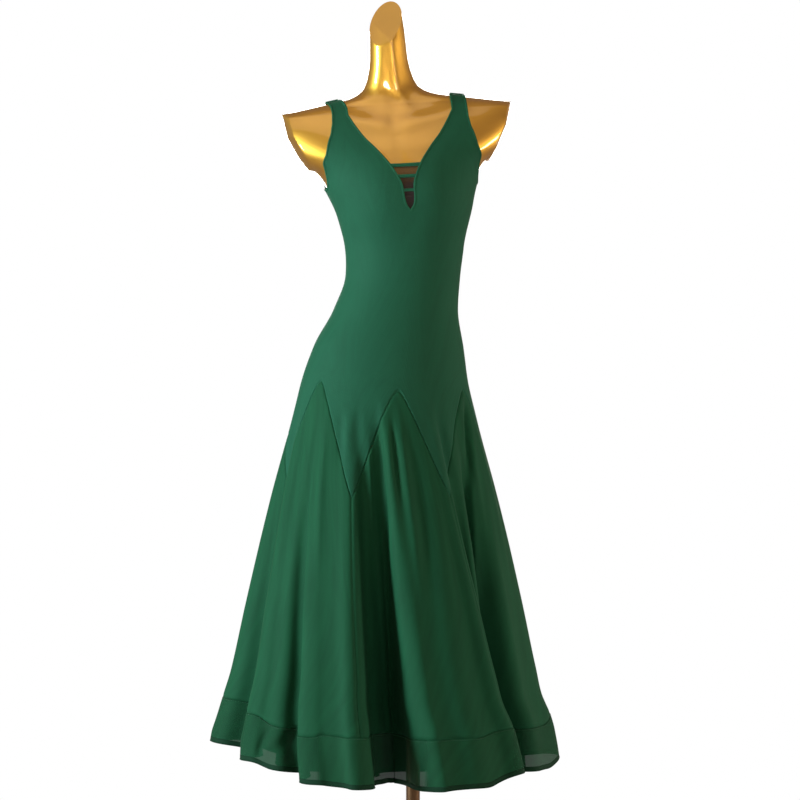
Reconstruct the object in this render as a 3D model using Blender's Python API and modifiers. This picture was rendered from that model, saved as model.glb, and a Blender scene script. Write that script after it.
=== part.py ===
"""Sleeveless dance dress worn by a gold display torso on a stand.

Metres, +Z up, front of the dress towards -Y, the wearer's left towards +X. The origin is the
middle of the stand's base where it meets the floor. Every cloth piece is a thin closed wall laid
over one figure surface, so neighbouring pieces share its normals and stay a seam gap apart.
"""

import math

import bmesh
import bpy
from mathutils import Vector
from mathutils.bvhtree import BVHTree

# Cloth
WALL = 0.0016
EASE = 0.0008
SEAM_HALF_GAP = 0.00015
POINTED_SEAM_HALF_GAP = 0.00030
SLOPE_STEP = 1.0
CLOTH_OUT = EASE + WALL

# Heights
FOLD_TOP = 0.835
HIP_LINE = 0.885
FOLD_HEM = 0.185
FOLD_GROWTH = 1.15
CHEST_ROW_HEIGHTS = (0.885, 0.925, 0.965, 1.005, 1.045, 1.085, 1.125)

# Leaning shoulders: the wearer's left one is carried higher
LEAN = math.tan(math.radians(3.8))
LEAN_FROM = 1.02
LEAN_FULL = 1.30

# Mesh density
BODICE_COLUMN_DEGREES = 7.6
LEAST_COLUMN_DEGREES = 1.1
STEEP_FLUTE = 0.030
DOUBLED_BACK = 0.6
POINTED_ROWS = 5
SKIRT_ROWS = 9
ARCH_ROWS = 6

# Figure under the cloth, one horizontal section a row.
# z, centre_x, centre_y, half_width, front_depth, back_depth, front_squareness
SECTIONS = (
    (0.100, -0.0505, 0.008, 0.2870, 0.2720, 0.2870, 2.0),
    (0.190, -0.0510, 0.008, 0.2835, 0.2680, 0.2830, 2.0),
    (0.230, -0.0520, 0.008, 0.2800, 0.2640, 0.2800, 2.0),
    (0.254, -0.0515, 0.008, 0.2745, 0.2580, 0.2750, 2.0),
    (0.298, -0.0540, 0.008, 0.2610, 0.2440, 0.2620, 2.0),
    (0.345, -0.0520, 0.008, 0.2510, 0.2330, 0.2510, 2.0),
    (0.465, -0.0515, 0.008, 0.2310, 0.2130, 0.2290, 2.0),
    (0.650, -0.0511, 0.008, 0.1960, 0.1750, 0.1880, 2.0),
    (0.780, -0.0510, 0.007, 0.1660, 0.1380, 0.1530, 2.0),
    (0.845, -0.0510, 0.005, 0.1515, 0.1170, 0.1330, 2.0),
    (0.925, -0.0437, 0.002, 0.1320, 0.1010, 0.1160, 2.1),
    (0.990, -0.0310, 0.000, 0.1095, 0.0900, 0.0940, 2.2),
    (1.050, -0.0185, 0.000, 0.1010, 0.0860, 0.0800, 2.2),
    (1.100, -0.0157, 0.000, 0.1045, 0.0900, 0.0820, 2.2),
    (1.160, -0.0162, 0.000, 0.1180, 0.1030, 0.0870, 2.4),
    (1.205, -0.0210, 0.000, 0.1325, 0.1080, 0.0900, 2.4),
    (1.240, -0.0245, 0.000, 0.1500, 0.1020, 0.0910, 2.3),
    (1.270, -0.0265, 0.000, 0.1880, 0.0930, 0.0890, 2.2),
    (1.300, -0.0280, 0.002, 0.2200, 0.0810, 0.0840, 2.1),
    (1.325, -0.0285, 0.004, 0.2380, 0.0690, 0.0740, 2.0),
    (1.342, -0.0285, 0.006, 0.2360, 0.0580, 0.0620, 2.0),
    (1.352, -0.0290, 0.007, 0.2080, 0.0510, 0.0540, 2.0),
    (1.3595, -0.0300, 0.008, 0.1660, 0.0460, 0.0490, 2.0),
    (1.3665, -0.0320, 0.008, 0.1240, 0.0430, 0.0460, 2.0),
    (1.3735, -0.0345, 0.008, 0.0830, 0.0410, 0.0440, 2.0),
    (1.3810, -0.0375, 0.008, 0.0620, 0.0400, 0.0425, 2.0),
    (1.3900, -0.0395, 0.007, 0.0500, 0.0390, 0.0410, 2.0),
    (1.4100, -0.0415, 0.004, 0.0405, 0.0370, 0.0385, 2.0),
    (1.4400, -0.0440, 0.000, 0.0345, 0.0345, 0.0350, 2.0),
    (1.4900, -0.0475, -0.005, 0.0315, 0.0320, 0.0320, 2.0),
    (1.5700, -0.0535, -0.012, 0.0225, 0.0250, 0.0250, 2.0),
)

# Two soft rises of the bodice front
BUST_HEIGHT = 1.192
BUST_SIDE = 0.056
BUST_RISE = 0.012
BUST_REACH = 0.040

# Skirt flutes all the way round, a row for each place where the cloth turns out or in.
# angle from the front in degrees, drift of the angle at the hem, offset at the hem, how far the
# cloth from here to the next row doubles back on itself
FLUTES = (
    (-90.0, 0.0, 0.030, 0.4),
    (-76.0, 8.0, -0.040, 0.8),
    (-68.0, 10.5, 0.024, 0.2),
    (-60.0, 12.0, 0.010, 0.4),
    (-54.0, 14.0, -0.030, 0.8),
    (-47.5, 14.8, 0.028, 0.2),
    (-36.0, 14.0, 0.020, 0.2),
    (-25.4, 13.0, 0.036, 0.9),
    (-20.0, 12.0, -0.040, 0.1),
    (-15.5, 13.0, -0.034, 0.2),
    (-11.0, 15.0, -0.086, 0.7),
    (-6.0, 16.0, 0.028, 0.2),
    (4.0, 14.5, 0.016, 0.1),
    (13.0, 14.5, 0.026, 0.1),
    (18.5, 17.0, 0.022, 0.1),
    (23.5, 19.0, 0.036, 0.9),
    (31.0, 17.0, -0.044, 0.1),
    (38.0, 15.0, -0.030, 0.1),
    (46.0, 13.0, -0.050, 0.5),
    (60.0, 8.0, 0.004, 0.1),
    (86.0, 4.0, 0.030, 0.4),
    (104.0, 2.0, -0.036, 0.4),
    (125.0, 0.0, 0.034, 0.5),
    (145.0, 0.0, -0.036, 0.5),
    (166.0, 0.0, 0.032, 0.5),
    (186.0, 0.0, -0.050, 0.5),
    (206.0, 0.0, 0.034, 0.5),
    (226.0, 0.0, -0.032, 0.4),
    (243.0, 0.0, 0.030, 0.4),
    (258.0, 0.0, -0.028, 0.4),
)
CLOSED_FLUTES = (*FLUTES, (FLUTES[0][0] + 360.0, *FLUTES[0][1:]))
DRIFT_GROWTH = 0.85

# Top points of the six godets and the bodice points between them: angle, height
GODET_PEAKS = ((-54.0, 0.860), (5.0, 0.842), (62.0, 0.8436), (120.0, 0.845), (180.0, 0.850), (242.0, 0.858))
BODICE_POINTS = ((-79.0, 0.688), (-25.4, 0.655), (24.0, 0.655), (90.0, 0.660), (150.0, 0.665), (211.0, 0.678))
CHEVRON_BOW = 1.5

# Hem height around the skirt: angle, height
HEM_HEIGHTS = (
    (-90.0, 0.217),
    (-68.0, 0.196),
    (-55.0, 0.178),
    (-47.0, 0.164),
    (-25.0, 0.157),
    (-8.0, 0.150),
    (13.0, 0.155),
    (25.0, 0.176),
    (46.0, 0.167),
    (68.0, 0.168),
    (88.0, 0.185),
    (106.0, 0.178),
    (122.0, 0.142),
    (150.0, 0.128),
    (180.0, 0.124),
    (202.0, 0.129),
    (222.0, 0.173),
    (240.0, 0.203),
    (256.0, 0.217),
)
# Depth of the stitched hem around the skirt: angle, depth
HEM_DEPTHS = (
    (-90.0, 0.078),
    (-68.0, 0.080),
    (-58.0, 0.074),
    (-46.0, 0.080),
    (-38.0, 0.086),
    (-10.0, 0.088),
    (14.0, 0.085),
    (30.0, 0.074),
    (46.0, 0.073),
    (60.0, 0.076),
    (90.0, 0.078),
    (240.0, 0.078),
)

# Bodice edges above the keyhole, a row each from the side seam's top to the shoulder. The neck
# edge is a distance from the middle line, the armhole an angle from the front or back.
# neck_x, neck_z, armhole_angle, armhole_z
FRONT_EDGES = (
    (0.0000, 1.1650, 90.0, 1.2110),
    (0.0068, 1.1710, 83.5, 1.2118),
    (0.0088, 1.1790, 77.5, 1.2148),
    (0.0092, 1.1900, 72.5, 1.2200),
    (0.0096, 1.2015, 68.0, 1.2290),
    (0.0110, 1.2110, 63.0, 1.2410),
    (0.0150, 1.2215, 55.0, 1.2550),
    (0.0250, 1.2425, 43.5, 1.2720),
    (0.0480, 1.2745, 35.8, 1.2950),
    (0.0670, 1.2970, 32.0, 1.3120),
    (0.0825, 1.3210, 30.7, 1.3280),
    (0.0930, 1.3400, 30.8, 1.3420),
)
BACK_EDGES = (
    (0.0000, 1.2300, 90.0, 1.2110),
    (0.0120, 1.2350, 83.5, 1.2118),
    (0.0240, 1.2440, 77.5, 1.2148),
    (0.0350, 1.2550, 72.5, 1.2205),
    (0.0450, 1.2660, 68.0, 1.2300),
    (0.0540, 1.2770, 63.5, 1.2410),
    (0.0620, 1.2870, 56.0, 1.2540),
    (0.0700, 1.2980, 46.0, 1.2690),
    (0.0770, 1.3090, 39.0, 1.2860),
    (0.0830, 1.3190, 34.5, 1.3040),
    (0.0885, 1.3290, 31.8, 1.3230),
    (0.0945, 1.3400, 31.0, 1.3420),
)
STRAP_INNER = 0.1010
STRAP_OUTER = 0.1246

# Edge binding and neckline ladder
BINDING_WIDTH = 0.0055
BINDING_THICK = 0.0010
LONGEST_BINDING_STEP = 0.014
LAY_ON_GAP = 0.0006
# height of each ladder band's middle, its width
LADDER = ((1.2430, 0.0070), (1.2230, 0.0065), (1.1985, 0.0055))
LADDER_THICK = 0.0012
LADDER_END_GAP = 0.0004
INSET_LOW = 1.1560
INSET_HIGH = 1.2205
INSET_HALF_WIDTH = 0.0170
INSET_THICK = 0.0006
INSET_OUT = 0.0001

# Display torso
FORM_BOTTOM = 0.700
FORM_INSET = 0.0026
FORM_INSET_UNTIL = 1.235
FORM_FLUSH_FROM = 1.285
FORM_RINGS = (
    0.700, 0.745, 0.800, 0.850, 0.885, 0.925, 0.965, 1.005, 1.045, 1.085, 1.125, 1.165, 1.205,
    1.230, 1.250, 1.270, 1.290, 1.310, 1.328, 1.342, 1.352, 1.3595, 1.3665, 1.3735, 1.381,
    1.390, 1.405, 1.430, 1.470, 1.515, 1.570,
)
THIGH_TAPER = 0.09
THIGH_TAPER_FROM = 0.850
# Shoulder caps: height, half width of the cut
SHOULDER_CUT = ((1.225, 0.146), (1.250, 0.152), (1.271, 0.166), (1.310, 0.187), (1.352, 0.198))
CAP_DOME = 0.008
CAP_FROM = 1.228
RIM_ANGLE_BELOW = 74.0
COLUMNS_TO_RIM = 6
COLUMNS_ACROSS_CAP = 2
NECK_CUT_POINT = (-0.0490, 0.000, 1.518)
NECK_CUT_NORMAL = (-0.78, -1.17, 1.00)

# Stand
POLE_RADIUS = 0.0125
BASE_RADIUS = 0.170
BASE_THICK = 0.008
BASE_EDGE_ROUND = 0.002
SEAT_GAP = 0.0003
STAND_ORIGIN = "stand_origin"

FINITE_STEP_ANGLE = 0.05
FINITE_STEP_HEIGHT = 0.0002


def clear_scene():
    for obj in list(bpy.data.objects):
        bpy.data.objects.remove(obj, do_unlink=True)


def material(name, colour, roughness, metallic=0.0):
    made = bpy.data.materials.new(name)
    made.use_nodes = True
    shader = made.node_tree.nodes["Principled BSDF"]
    shader.inputs["Base Color"].default_value = (*colour, 1.0)
    shader.inputs["Roughness"].default_value = roughness
    shader.inputs["Metallic"].default_value = metallic
    made.diffuse_color = (*colour, 1.0)
    return made


def smoothstep(value):
    held = min(1.0, max(0.0, value))
    return held * held * (3.0 - 2.0 * held)


def tangents(table, column):
    """Slopes of a curve through one column that never overshoots its rows."""
    steps = []
    for low, high in zip(table, table[1:]):
        steps.append((high[column] - low[column]) / (high[0] - low[0]))
    slopes = [steps[0]]
    for before, after in zip(steps, steps[1:]):
        together = before * after
        slopes.append(2.0 * together / (before + after) if together > 0.0 else 0.0)
    slopes.append(steps[-1])
    return slopes


SECTION_SLOPES = [None] + [tangents(SECTIONS, column) for column in range(1, len(SECTIONS[0]))]


def section(z):
    """Centre x and y, half width, front and back depth and squareness of the figure at a height."""
    index = 0
    while index < len(SECTIONS) - 2 and z > SECTIONS[index + 1][0]:
        index += 1
    low, high = SECTIONS[index], SECTIONS[index + 1]
    span = high[0] - low[0]
    t = (z - low[0]) / span
    values = []
    for column in range(1, len(low)):
        slopes = SECTION_SLOPES[column]
        values.append(
            (2 * t**3 - 3 * t**2 + 1) * low[column]
            + (t**3 - 2 * t**2 + t) * span * slopes[index]
            + (3 * t**2 - 2 * t**3) * high[column]
            + (t**3 - t**2) * span * slopes[index + 1]
        )
    return values


def between(table, angle):
    """A height read from a table of angle and height that closes on itself, eased between rows."""
    turned = (angle - table[0][0]) % 360.0 + table[0][0]
    closed = (*table, (table[0][0] + 360.0, table[0][1]))
    for low, high in zip(closed, closed[1:]):
        if turned <= high[0]:
            t = (turned - low[0]) / (high[0] - low[0])
            return low[1] + (high[1] - low[1]) * smoothstep(t)
    return closed[-1][1]


def fold_at(angle, z):
    """Where the flutes carry a point of the skirt: its turned angle and its move outwards."""
    depth = min(1.3, max(0.0, (FOLD_TOP - z) / (FOLD_TOP - FOLD_HEM)))
    grown = depth**FOLD_GROWTH
    if grown == 0.0:
        return angle, 0.0
    first = FLUTES[0]
    turned = (angle - first[0]) % 360.0 + first[0]
    whole_turns = angle - turned
    for low, high in zip(CLOSED_FLUTES, CLOSED_FLUTES[1:]):
        if turned <= high[0]:
            break
    span = high[0] - low[0]
    t = (turned - low[0]) / span
    eased = 0.5 - 0.5 * math.cos(math.pi * t)
    offset = low[2] + (high[2] - low[2]) * eased
    drift = low[1] + (high[1] - low[1]) * t
    hem_span = span + high[1] - low[1]
    bulge = hem_span * low[3] / math.pi * math.sin(2.0 * math.pi * t)
    return turned + whole_turns + drift * grown**DRIFT_GROWTH + bulge * grown, offset * grown


def figure_point(angle, z):
    """A point of the figure, by its angle from the front in degrees and its height before the lean."""
    centre_x, centre_y, half, front, back, squareness = section(z)
    turned, outwards = fold_at(angle, z)
    across, along = math.sin(math.radians(turned)), math.cos(math.radians(turned))
    power = 2.0 / squareness if along > 0.0 else 1.0
    side = math.copysign(abs(across) ** power, across) * (half + outwards)
    if along > 0.0:
        rise = 0.0
        for bust_x in (-BUST_SIDE, BUST_SIDE):
            away = (side - bust_x) ** 2 + (z - BUST_HEIGHT) ** 2
            rise += BUST_RISE * math.exp(-away / (2.0 * BUST_REACH**2))
        depth = -(along**power) * (front + outwards) - rise * along
    else:
        depth = -along * (back + outwards)
    lean = LEAN * smoothstep((z - LEAN_FROM) / (LEAN_FULL - LEAN_FROM))
    return Vector((centre_x + side, centre_y + depth, z + lean * side))


def cloth_point(angle, z, out):
    """A figure point moved out along the surface's own normal."""
    after = figure_point(angle + FINITE_STEP_ANGLE, z)
    before = figure_point(angle - FINITE_STEP_ANGLE, z)
    above = figure_point(angle, z + FINITE_STEP_HEIGHT)
    below = figure_point(angle, z - FINITE_STEP_HEIGHT)
    normal = (after - before).cross(above - below).normalized()
    return figure_point(angle, z) + normal * out


def angle_of(x, z, front):
    """The angle at which the figure has that distance from its middle line at that height."""
    _, _, half, _, _, squareness = section(z)
    power = squareness / 2.0 if front else 1.0
    return math.degrees(math.asin(min(1.0, x / half) ** power))


def distance_at(angle, z, front):
    """The figure's distance from its middle line at an angle and a height."""
    _, _, half, _, _, squareness = section(z)
    return half * math.sin(math.radians(angle)) ** (2.0 / squareness if front else 1.0)


def shoulder_height(x, angle, front):
    """The height at which the shoulder slope has that distance from the middle at that angle."""
    low, high = 1.335, 1.388
    for _ in range(40):
        middle = 0.5 * (low + high)
        if distance_at(angle, middle, front) > x:
            low = middle
        else:
            high = middle
    return low


def chevron_height(angle):
    """Height of the pointed seam between the bodice and the godets."""
    corners = sorted([(a, z, True) for a, z in GODET_PEAKS] + [(a, z, False) for a, z in BODICE_POINTS])
    first = corners[0]
    corners.append((first[0] + 360.0, first[1], first[2]))
    turned = (angle - first[0]) % 360.0 + first[0]
    for low, high in zip(corners, corners[1:]):
        if turned <= high[0] + 1e-6:
            break
    t = (turned - low[0]) / (high[0] - low[0])
    peak, point = (low, high) if low[2] else (high, low)
    from_peak = t if low[2] else 1.0 - t
    return peak[1] + (point[1] - peak[1]) * max(0.0, from_peak) ** CHEVRON_BOW


def pointed_gap(angle):
    """Half the gap at the pointed seam, measured straight down from its height at an angle."""
    here = chevron_height(angle)
    _, _, half, _, _, _ = section(here)
    run = half * math.radians(SLOPE_STEP)
    steepest = max(abs(chevron_height(angle + side * SLOPE_STEP) - here) for side in (-1, 1)) / run
    return POINTED_SEAM_HALF_GAP * math.hypot(1.0, steepest)


def chevron_columns(first, last):
    """Bodice column angles from one angle to another that meet every corner of the pointed seam."""
    corners = {turn + a for a, _ in (*GODET_PEAKS, *BODICE_POINTS) for turn in (-360.0, 0.0, 360.0)}
    keys = sorted({first, last} | {a for a in corners if first < a < last})
    angles = [first]
    for low, high in zip(keys, keys[1:]):
        parts = max(1, round((high - low) / BODICE_COLUMN_DEGREES))
        angles += [low + (high - low) * (part + 1) / parts for part in range(parts)]
    return angles


def all_bodice_columns():
    return chevron_columns(-90.0, 0.0)[:-1] + chevron_columns(0.0, 90.0)[:-1] + (
        chevron_columns(90.0, 180.0)[:-1] + chevron_columns(180.0, 270.0)[:-1]
    )


def skirt_columns(first, last):
    """Skirt column angles: those of the bodice above, and those where the flutes turn or are steep."""
    wanted = []
    for low, high in zip(CLOSED_FLUTES, CLOSED_FLUTES[1:]):
        wanted.append(low[0])
        parts = 4 if low[3] > DOUBLED_BACK else 2
        if abs(high[2] - low[2]) > STEEP_FLUTE:
            wanted += [low[0] + (high[0] - low[0]) * part / parts for part in range(1, parts)]
    angles = []
    for turn in (-360.0, 0.0, 360.0):
        angles += [a + turn for a in all_bodice_columns()]
    for angle in wanted:
        for turn in (-360.0, 0.0, 360.0):
            if min(abs(a - angle - turn) for a in angles) > LEAST_COLUMN_DEGREES:
                angles.append(angle + turn)
    return sorted(a for a in angles if first - 1e-6 <= a <= last + 1e-6)


def godet_top_point(angle, out):
    """A point of a godet's pointed edge, straight between two columns of the bodice above it."""
    columns = all_bodice_columns()
    columns = [a - 360.0 for a in columns] + columns + [a + 360.0 for a in columns]
    low = max(a for a in columns if a <= angle + 1e-6)
    high = min(a for a in columns if a > angle + 1e-6)
    share = (angle - low) / (high - low)
    start = cloth_point(low, chevron_height(low) - pointed_gap(low), out)
    end = cloth_point(high, chevron_height(high) - pointed_gap(high), out)
    return start.lerp(end, max(0.0, share))


def collection(name):
    """A collection with an empty at the middle of the stand's base, which carries every piece."""
    made = bpy.data.collections.new(name)
    bpy.context.scene.collection.children.link(made)
    made.objects.link(bpy.data.objects.new(STAND_ORIGIN, None))
    return made


def add_object(bm, name, finish, group, smooth=True, location=(0.0, 0.0, 0.0)):
    """Makes the finished mesh one named object with its faces pointing out, on the group's empty."""
    bmesh.ops.remove_doubles(bm, verts=bm.verts, dist=1e-5)
    bmesh.ops.recalc_face_normals(bm, faces=bm.faces)
    mesh = bpy.data.meshes.new(name)
    bm.to_mesh(mesh)
    bm.free()
    if smooth:
        mesh.shade_smooth()
        mesh.set_sharp_from_angle(angle=math.radians(40))
    mesh.materials.append(finish)
    obj = bpy.data.objects.new(name, mesh)
    obj.location = location
    obj.parent = group.objects[STAND_ORIGIN]
    group.objects.link(obj)
    return obj


def add_wall(bm, outer, inner, left_rim=True, right_rim=True, open_left_until=0):
    """A closed wall between two grids of points, rows from the bottom up.

    The first column's rim is left off up to row open_left_until, where another half joins on."""
    rows, columns = len(outer), len(outer[0])
    outside = [[bm.verts.new(point) for point in row] for row in outer]
    inside = [[bm.verts.new(point) for point in row] for row in inner]
    for r in range(rows - 1):
        for c in range(columns - 1):
            bm.faces.new((outside[r][c], outside[r][c + 1], outside[r + 1][c + 1], outside[r + 1][c]))
            bm.faces.new((inside[r][c], inside[r + 1][c], inside[r + 1][c + 1], inside[r][c + 1]))
        if left_rim and r >= open_left_until:
            bm.faces.new((outside[r][0], outside[r + 1][0], inside[r + 1][0], inside[r][0]))
        if right_rim:
            bm.faces.new((outside[r][-1], inside[r][-1], inside[r + 1][-1], outside[r + 1][-1]))
    for c in range(columns - 1):
        bm.faces.new((outside[0][c], inside[0][c], inside[0][c + 1], outside[0][c + 1]))
        bm.faces.new((outside[-1][c], outside[-1][c + 1], inside[-1][c + 1], inside[-1][c]))


def half_bodice_places(side, front):
    """Angle and height of each point of one half of the front or back, rows from the bottom up.

    The first column is the middle line and then the neck edge, the last one the side seam and
    then the armhole."""
    edges = FRONT_EDGES if front else BACK_EDGES
    if front:
        quarter = chevron_columns(0.0, 90.0) if side > 0 else chevron_columns(-90.0, 0.0)
        angles = sorted(abs(a) for a in quarter)
    else:
        quarter = chevron_columns(90.0, 180.0) if side > 0 else chevron_columns(180.0, 270.0)
        angles = sorted(abs(180.0 - a) for a in quarter)
    columns = len(angles)

    def world_angle(angle):
        return side * angle if front else 180.0 - side * angle

    rows = []
    for row in range(POINTED_ROWS):
        share = row / POINTED_ROWS
        places = []
        for angle in angles:
            low = chevron_height(world_angle(angle)) + pointed_gap(world_angle(angle))
            places.append((angle, low + (HIP_LINE - low) * share))
        rows.append(places)
    for z in CHEST_ROW_HEIGHTS:
        rows.append([(angle, z) for angle in angles])
    for neck_x, neck_z, armhole, armhole_z in edges:
        neck = angle_of(neck_x, neck_z, front)
        shares = [angle / 90.0 for angle in angles]
        rows.append(
            [(neck + (armhole - neck) * share, neck_z + (armhole_z - neck_z) * share) for share in shares]
        )
    low_neck, low_armhole = edges[-1][0], distance_at(edges[-1][2], edges[-1][3], front)
    start = [place[0] for place in rows[-1]]
    for step in range(1, ARCH_ROWS + 1):
        t = step / ARCH_ROWS
        inner = low_neck + (STRAP_INNER - low_neck) * t
        outer = low_armhole + (STRAP_OUTER - low_armhole) * t
        places = []
        for column in range(columns):
            x = inner + (outer - inner) * angles[column] / 90.0
            angle = start[column] + (90.0 - start[column]) * t
            places.append((angle, shoulder_height(x, angle, front)))
        rows.append(places)
    return [[(world_angle(angle), z) for angle, z in row] for row in rows]


def bodice_grids(side, front):
    """Outer and inner points of half a bodice piece, moved half a seam gap off its neighbour."""
    places = half_bodice_places(side, front)
    shift = Vector((0.0, -SEAM_HALF_GAP if front else SEAM_HALF_GAP, 0.0))
    outer = [[cloth_point(a, z, CLOTH_OUT) + shift for a, z in row] for row in places]
    inner = [[cloth_point(a, z, EASE) + shift for a, z in row] for row in places]
    return outer, inner


def middle_rows():
    """How many rows of a bodice piece lie below its neck opening."""
    return POINTED_ROWS + len(CHEST_ROW_HEIGHTS)


def bodice_piece(name, front, finish, group):
    bm = bmesh.new()
    for side in (-1, 1):
        outer, inner = bodice_grids(side, front)
        add_wall(bm, outer, inner, open_left_until=middle_rows())
    return add_object(bm, name, finish, group)


def outward(outer, inner, r, c):
    return (outer[r][c] - inner[r][c]).normalized()


def outside_of_bodice(front):
    """The outside of the front or back as a surface to lay trims on."""
    bm = bmesh.new()
    for side in (-1, 1):
        outer, _ = bodice_grids(side, front)
        points = [[bm.verts.new(point) for point in row] for row in outer]
        for low, high in zip(points, points[1:]):
            for c in range(len(low) - 1):
                bm.faces.new((low[c], low[c + 1], high[c + 1], high[c]))
    surface = BVHTree.FromBMesh(bm)
    bm.free()
    return surface


def edge_stations(outer, inner, rows, column):
    """Point, normal and a neighbour within the cloth along one edge of half a bodice.

    There is one for each row, and one halfway between rows that are far apart."""
    beside = 1 if column == 0 else -2
    exact = [(outer[r][column], outward(outer, inner, r, column), outer[r][beside]) for r in rows]
    stations = exact[:1]
    for low, high in zip(exact, exact[1:]):
        if (high[0] - low[0]).length > LONGEST_BINDING_STEP:
            stations.append(tuple(a.lerp(b, 0.5) for a, b in zip(low, high)))
        stations.append(high)
    return stations


def binding(name, stations, ends, surface, finish, group):
    """A flat folded strip laid on the cloth along its edge, thickest along its middle.

    ends holds the directions in which the strip's two ends are cut, into the cloth."""
    rows = []
    for index, (point, normal, neighbour) in enumerate(stations):
        miter = 1.0
        if index == 0:
            across = ends[0]
        elif index == len(stations) - 1:
            across = ends[1]
        else:
            before = (point - stations[index - 1][0]).normalized()
            after = (stations[index + 1][0] - point).normalized()
            across = normal.cross((before + after).normalized())
            if across.dot(neighbour - point) < 0.0:
                across.negate()
            miter = 1.0 / max(0.6, math.sqrt(0.5 * (1.0 + before.dot(after))))
        reach = point + across.normalized() * BINDING_WIDTH * miter
        under, over = [], []
        for share, thick in ((0.0, 0.9), (0.5, 1.3), (1.0, 0.8)):
            laid, facing = surface.find_nearest(point.lerp(reach, share))[:2]
            facing = facing * math.copysign(1.0, facing.dot(normal)) + normal
            facing.normalize()
            under.append(laid + facing * LAY_ON_GAP)
            over.append(laid + facing * (LAY_ON_GAP + BINDING_THICK * thick))
        rows.append(under + over[::-1])
    bm = bmesh.new()
    rings = [[bm.verts.new(corner) for corner in row] for row in rows]
    for first, second in zip(rings, rings[1:]):
        for c in range(len(first)):
            d = (c + 1) % len(first)
            bm.faces.new((first[c], first[d], second[d], second[c]))
    bm.faces.new(rings[0])
    bm.faces.new(rings[-1][::-1])
    return add_object(bm, name, finish, group)


def neck_binding(name, front, surface, finish, group):
    """One strip from shoulder to shoulder along the neck edge and round its lowest point."""
    first_row = middle_rows()
    halves, cuts = [], []
    for side in (-1, 1):
        outer, inner = bodice_grids(side, front)
        halves.append(edge_stations(outer, inner, range(first_row, len(outer)), 0))
        cuts.append((outer[-1][1] - outer[-1][0]).normalized())
        below = outer[first_row - 1][0]
    point, normal, _ = halves[0][0]
    stations = halves[0][:0:-1] + [(point, normal, below)] + halves[1][1:]
    return binding(name, stations, cuts, surface, finish, group)


def armhole_binding(name, side, front, surface, finish, group):
    """A strip along one armhole, from the side seam to the shoulder."""
    outer, inner = bodice_grids(side, front)
    first_row = middle_rows()
    stations = edge_stations(outer, inner, range(first_row, len(outer)), -1)
    down_the_seam = (outer[first_row - 1][-1] - outer[first_row][-1]).normalized()
    along_the_shoulder = (outer[-1][-2] - outer[-1][-1]).normalized()
    return binding(name, stations, (down_the_seam, along_the_shoulder), surface, finish, group)


def ladder_band(name, height, width, finish, group):
    """A flat band across the neck opening, from one edge of the front to the other."""
    columns, out_high = 5, CLOTH_OUT - 0.0002
    outer, inner = [], []
    for z in (height - width / 2, height + width / 2):
        reach = neck_reach(z) - LADDER_END_GAP
        top, bottom = [], []
        for column in range(columns):
            x = reach * (2.0 * column / (columns - 1) - 1.0)
            angle = math.copysign(angle_of(abs(x), z, True), x)
            top.append(cloth_point(angle, z, out_high) + Vector((0.0, -SEAM_HALF_GAP, 0.0)))
            bottom.append(cloth_point(angle, z, out_high - LADDER_THICK) + Vector((0.0, -SEAM_HALF_GAP, 0.0)))
        outer.append(top)
        inner.append(bottom)
    bm = bmesh.new()
    add_wall(bm, outer, inner)
    return add_object(bm, name, finish, group)


def neck_reach(z):
    """Distance of the neck edge from the middle line at a height."""
    for low, high in zip(FRONT_EDGES, FRONT_EDGES[1:]):
        if low[1] <= z <= high[1]:
            return low[0] + (high[0] - low[0]) * (z - low[1]) / (high[1] - low[1])
    return STRAP_INNER


def keyhole_inset(name, finish, group):
    """Dark mesh behind the keyhole, between the bodice and the torso."""
    columns, rows = 5, 7
    outer, inner = [], []
    for row in range(rows):
        z = INSET_LOW + (INSET_HIGH - INSET_LOW) * row / (rows - 1)
        top, bottom = [], []
        for column in range(columns):
            x = INSET_HALF_WIDTH * (2.0 * column / (columns - 1) - 1.0)
            angle = math.copysign(angle_of(abs(x), z, True), x)
            top.append(cloth_point(angle, z, INSET_OUT))
            bottom.append(cloth_point(angle, z, INSET_OUT - INSET_THICK))
        outer.append(top)
        inner.append(bottom)
    bm = bmesh.new()
    add_wall(bm, outer, inner)
    return add_object(bm, name, finish, group)


def hem_height(angle):
    return between(HEM_HEIGHTS, angle)


def band_top(angle):
    return hem_height(angle) + between(HEM_DEPTHS, angle)


def seam_shift(angle, z, towards):
    """Half a seam gap along the cloth, to one side."""
    run = figure_point(angle + FINITE_STEP_ANGLE, z) - figure_point(angle - FINITE_STEP_ANGLE, z)
    return run.normalized() * SEAM_HALF_GAP * towards


def skirt_grids(first, last, heights, top_on_bodice):
    """Outer and inner points of a skirt piece, its two side seams drawn in by half a seam gap.

    heights gives the height of each row at an angle, from the bottom up."""
    angles = skirt_columns(first, last)
    grids = []
    for out in (CLOTH_OUT, EASE):
        grid = []
        for row, height in enumerate(heights):
            line = []
            for angle in angles:
                if top_on_bodice and row == len(heights) - 1:
                    point = godet_top_point(angle, out)
                else:
                    point = cloth_point(angle, height(angle), out)
                if angle in (angles[0], angles[-1]):
                    point += seam_shift(angle, height(angle), 1 if angle == angles[0] else -1)
                line.append(point)
            grid.append(line)
        grids.append(grid)
    return grids


def godet(name, first, last, finish, group):
    """One flared skirt piece, pointed at its top and fluted towards its hem."""

    def row_height(share):
        def height(angle):
            low = band_top(angle) + SEAM_HALF_GAP
            high = chevron_height(angle) - pointed_gap(angle)
            return low + (high - low) * share
        return height

    heights = [row_height(row / SKIRT_ROWS) for row in range(SKIRT_ROWS + 1)]
    outer, inner = skirt_grids(first, last, heights, True)
    bm = bmesh.new()
    add_wall(bm, outer, inner)
    return add_object(bm, name, finish, group)


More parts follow.
